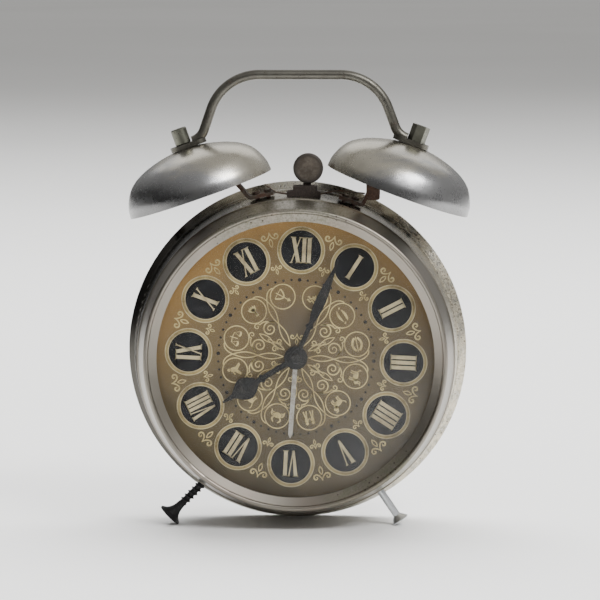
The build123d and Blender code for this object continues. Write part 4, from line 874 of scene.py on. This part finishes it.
def recess_depth(radius, turn):
    """Depth of the cross recess at a place on the head's face."""
    half, reach, depth = SCREW_RECESS
    x, y = (abs(radius * part(math.tau * turn)) for part in (math.cos, math.sin))
    inside = min(1.0, max(0.0, (half - min(x, y)) / 0.16)) * min(1.0, max(0.0, (reach - max(x, y)) / 0.7))
    return depth * inside


def threaded_foot():
    """Black drywall screw with a real helix, in place of the plain turned one."""
    low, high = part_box("foot_screw_left")
    middle = Vector((low.x + SCREW_HEAD * math.cos(SCREW_TILT) * MM, (low.y + high.y) / 2,
                     low.z + SCREW_HEAD * math.sin(SCREW_TILT) * MM))
    along = Vector((math.sin(SCREW_TILT), 0.0, math.cos(SCREW_TILT)))
    across = Vector((math.cos(SCREW_TILT), 0.0, -math.sin(SCREW_TILT)))
    away = Vector((0.0, 1.0, 0.0))
    sides, face_rings, steps = 72, 26, 320
    profile = [(SCREW_HEAD * i / face_rings, 0.0, True) for i in range(1, face_rings)]
    profile += [(0.0, SCREW_LENGTH * i / steps, False) for i in range(steps + 1)]
    mesh = bmesh.new()

    def vertex(radius, height, turn):
        ring = across * math.cos(math.tau * turn) + away * math.sin(math.tau * turn)
        return mesh.verts.new(middle + (ring * radius + along * height) * MM)

    rings = []
    for radius, height, on_face in profile:
        ring = []
        for side in range(sides):
            turn = side / sides
            if on_face:
                ring.append(vertex(radius, recess_depth(radius, turn), turn))
            else:
                ring.append(vertex(screw_radius(height, turn), height, turn))
        rings.append(ring)
    for inner, outer in zip(rings, rings[1:]):
        for side in range(sides):
            after = (side + 1) % sides
            mesh.faces.new((inner[side], inner[after], outer[after], outer[side]))
    for ring, height in ((rings[0], SCREW_RECESS[2]), (rings[-1], SCREW_LENGTH + 0.3)):
        tip = vertex(0.0, height, 0.0)
        for side in range(sides):
            mesh.faces.new((ring[side], ring[(side + 1) % sides], tip))
    bmesh.ops.recalc_face_normals(mesh, faces=mesh.faces)
    data = bpy.data.meshes.new("threaded_foot")
    mesh.to_mesh(data)
    mesh.free()
    data.materials.append(MATERIALS["black_screw"])
    data.shade_smooth()
    data.set_sharp_from_angle(angle=math.radians(38))
    screw = bpy.data.objects.new("threaded_foot", data)
    bpy.context.scene.collection.objects.link(screw)
    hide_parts("foot_screw_left")
    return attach(screw, "case")


# ---------------------------------------------------------------- stage, lights and camera
FLOOR_HALF = 30.0
FLOOR_PALE, FLOOR_PALER, FLOOR_DARK = (0.84, 0.84, 0.83), (0.87, 0.87, 0.86), (0.10, 0.10, 0.10)
FLOOR_FADE = (-0.16, -0.75)    # in front of the clock, where the floor turns dark


def stage_floor():
    """Very wide pale floor, darker far in front of the clock, where it would whiten the metal."""
    mesh = bmesh.new()
    bmesh.ops.create_grid(mesh, x_segments=24, y_segments=24, size=FLOOR_HALF)
    data = bpy.data.meshes.new("floor")
    mesh.to_mesh(data)
    mesh.free()
    shader = Shader("pale_floor", roughness=0.9)
    front = shader.ranged(shader.axis("Y"), *FLOOR_FADE)
    paper = shader.mix(shader.ranged(shader.noise(900, detail=2), 0.3, 0.7), FLOOR_PALE, FLOOR_PALER)
    shader.set(Base_Color=shader.mix(front, paper, FLOOR_DARK))
    data.materials.append(shader.material)
    floor = bpy.data.objects.new("floor", data)
    bpy.context.scene.collection.objects.link(floor)


WORLD_STOPS = ((0.0, 0.02), (0.30, 0.12), (0.55, 0.45), (1.0, 0.9))
WORLD_LEVEL = 0.25            # where the horizon falls in the stops
WORLD_RIGHT = 0.30            # how much lighter it is towards +X
WORLD_BACK = 0.30             # and behind the clock
WORLD_STRENGTH = 0.6


def studio_world():
    """Soft room light: bright overhead, pale behind the clock and dimmer in front of it."""
    world = bpy.data.worlds.new("studio")
    bpy.context.scene.world = world
    world.use_nodes = True
    nodes, links = world.node_tree.nodes, world.node_tree.links

    def maths(operation, *values):
        made = nodes.new("ShaderNodeMath")
        made.operation = operation
        for socket, value in zip(made.inputs, values):
            if isinstance(value, bpy.types.NodeSocket):
                links.new(value, socket)
            else:
                socket.default_value = value
        return made.outputs[0]

    split = nodes.new("ShaderNodeSeparateXYZ")
    links.new(nodes.new("ShaderNodeTexCoord").outputs["Generated"], split.inputs[0])
    lean = maths("MULTIPLY_ADD", split.outputs["X"], WORLD_RIGHT, split.outputs["Z"])
    behind = maths("MAXIMUM", split.outputs["Y"], 0.0)
    level = maths("ADD", maths("MULTIPLY_ADD", behind, WORLD_BACK, lean), WORLD_LEVEL)
    ramp = nodes.new("ShaderNodeValToRGB")
    for _ in WORLD_STOPS[2:]:
        ramp.color_ramp.elements.new(0.5)
    for element, (position, grey) in zip(ramp.color_ramp.elements, WORLD_STOPS):
        element.position = position
        element.color = (grey, grey * 0.99, grey * 0.97, 1.0)
    links.new(level, ramp.inputs["Fac"])
    links.new(ramp.outputs["Color"], nodes["Background"].inputs["Color"])
    nodes["Background"].inputs["Strength"].default_value = WORLD_STRENGTH


def area_light(name, place, target, width, height, power):
    """White rectangular light aimed at a target."""
    light = bpy.data.lights.new(name, "AREA")
    light.shape = "RECTANGLE"
    light.size = width
    light.size_y = height
    light.energy = power
    lamp = bpy.data.objects.new(name, light)
    lamp.location = place
    lamp.rotation_euler = (Vector(target) - Vector(place)).to_track_quat("-Z", "Y").to_euler()
    bpy.context.scene.collection.objects.link(lamp)
    return lamp


def add_lights():
    middle = (0.0, 0.0, 0.08)
    area_light("window", (0.65, -0.65, 0.98), middle, 0.55, 0.40, 13.0)
    area_light("lamp", (0.27, -0.88, 0.98), middle, 0.05, 0.05, 0.8)
    area_light("rear_panel", (0.0, 1.8, 1.6), middle, 2.6, 1.2, 10.0)
    overhead = area_light("overhead", (0.1, 0.55, 1.5), middle, 1.8, 1.1, 62.0)
    overhead.visible_glossy = False       # it lights the floor without a hard patch in the metal


CAMERA_DISTANCE = 1.15
CAMERA_ABOVE = math.radians(7.3)
CAMERA_RIGHT = math.radians(1.5)
CAMERA_LENS = 207.7


def add_camera():
    """Long lens, a little above and to the right of the dial's axis, aimed at the middle of the object."""
    crest = Vector((AXIS_X, CREST_Y, AXIS_Z))
    level = math.cos(CAMERA_ABOVE)
    way = Vector((math.sin(CAMERA_RIGHT) * level, -math.cos(CAMERA_RIGHT) * level, math.sin(CAMERA_ABOVE)))
    aim = crest + Vector((1.6 * MM, 0.0, 20.4 * MM))
    data = bpy.data.cameras.new("camera")
    data.lens = CAMERA_LENS
    data.sensor_width = 36.0
    data.clip_start = 0.01
    camera = bpy.data.objects.new("camera", data)
    camera.location = crest + way * CAMERA_DISTANCE
    camera.rotation_euler = (aim - camera.location).to_track_quat("-Z", "Y").to_euler()
    bpy.context.scene.collection.objects.link(camera)
    bpy.context.scene.camera = camera


paint_cad()
roundels()
minute_dots()
scrollwork()
threaded_foot()
stage_floor()
studio_world()
add_lights()
add_camera()
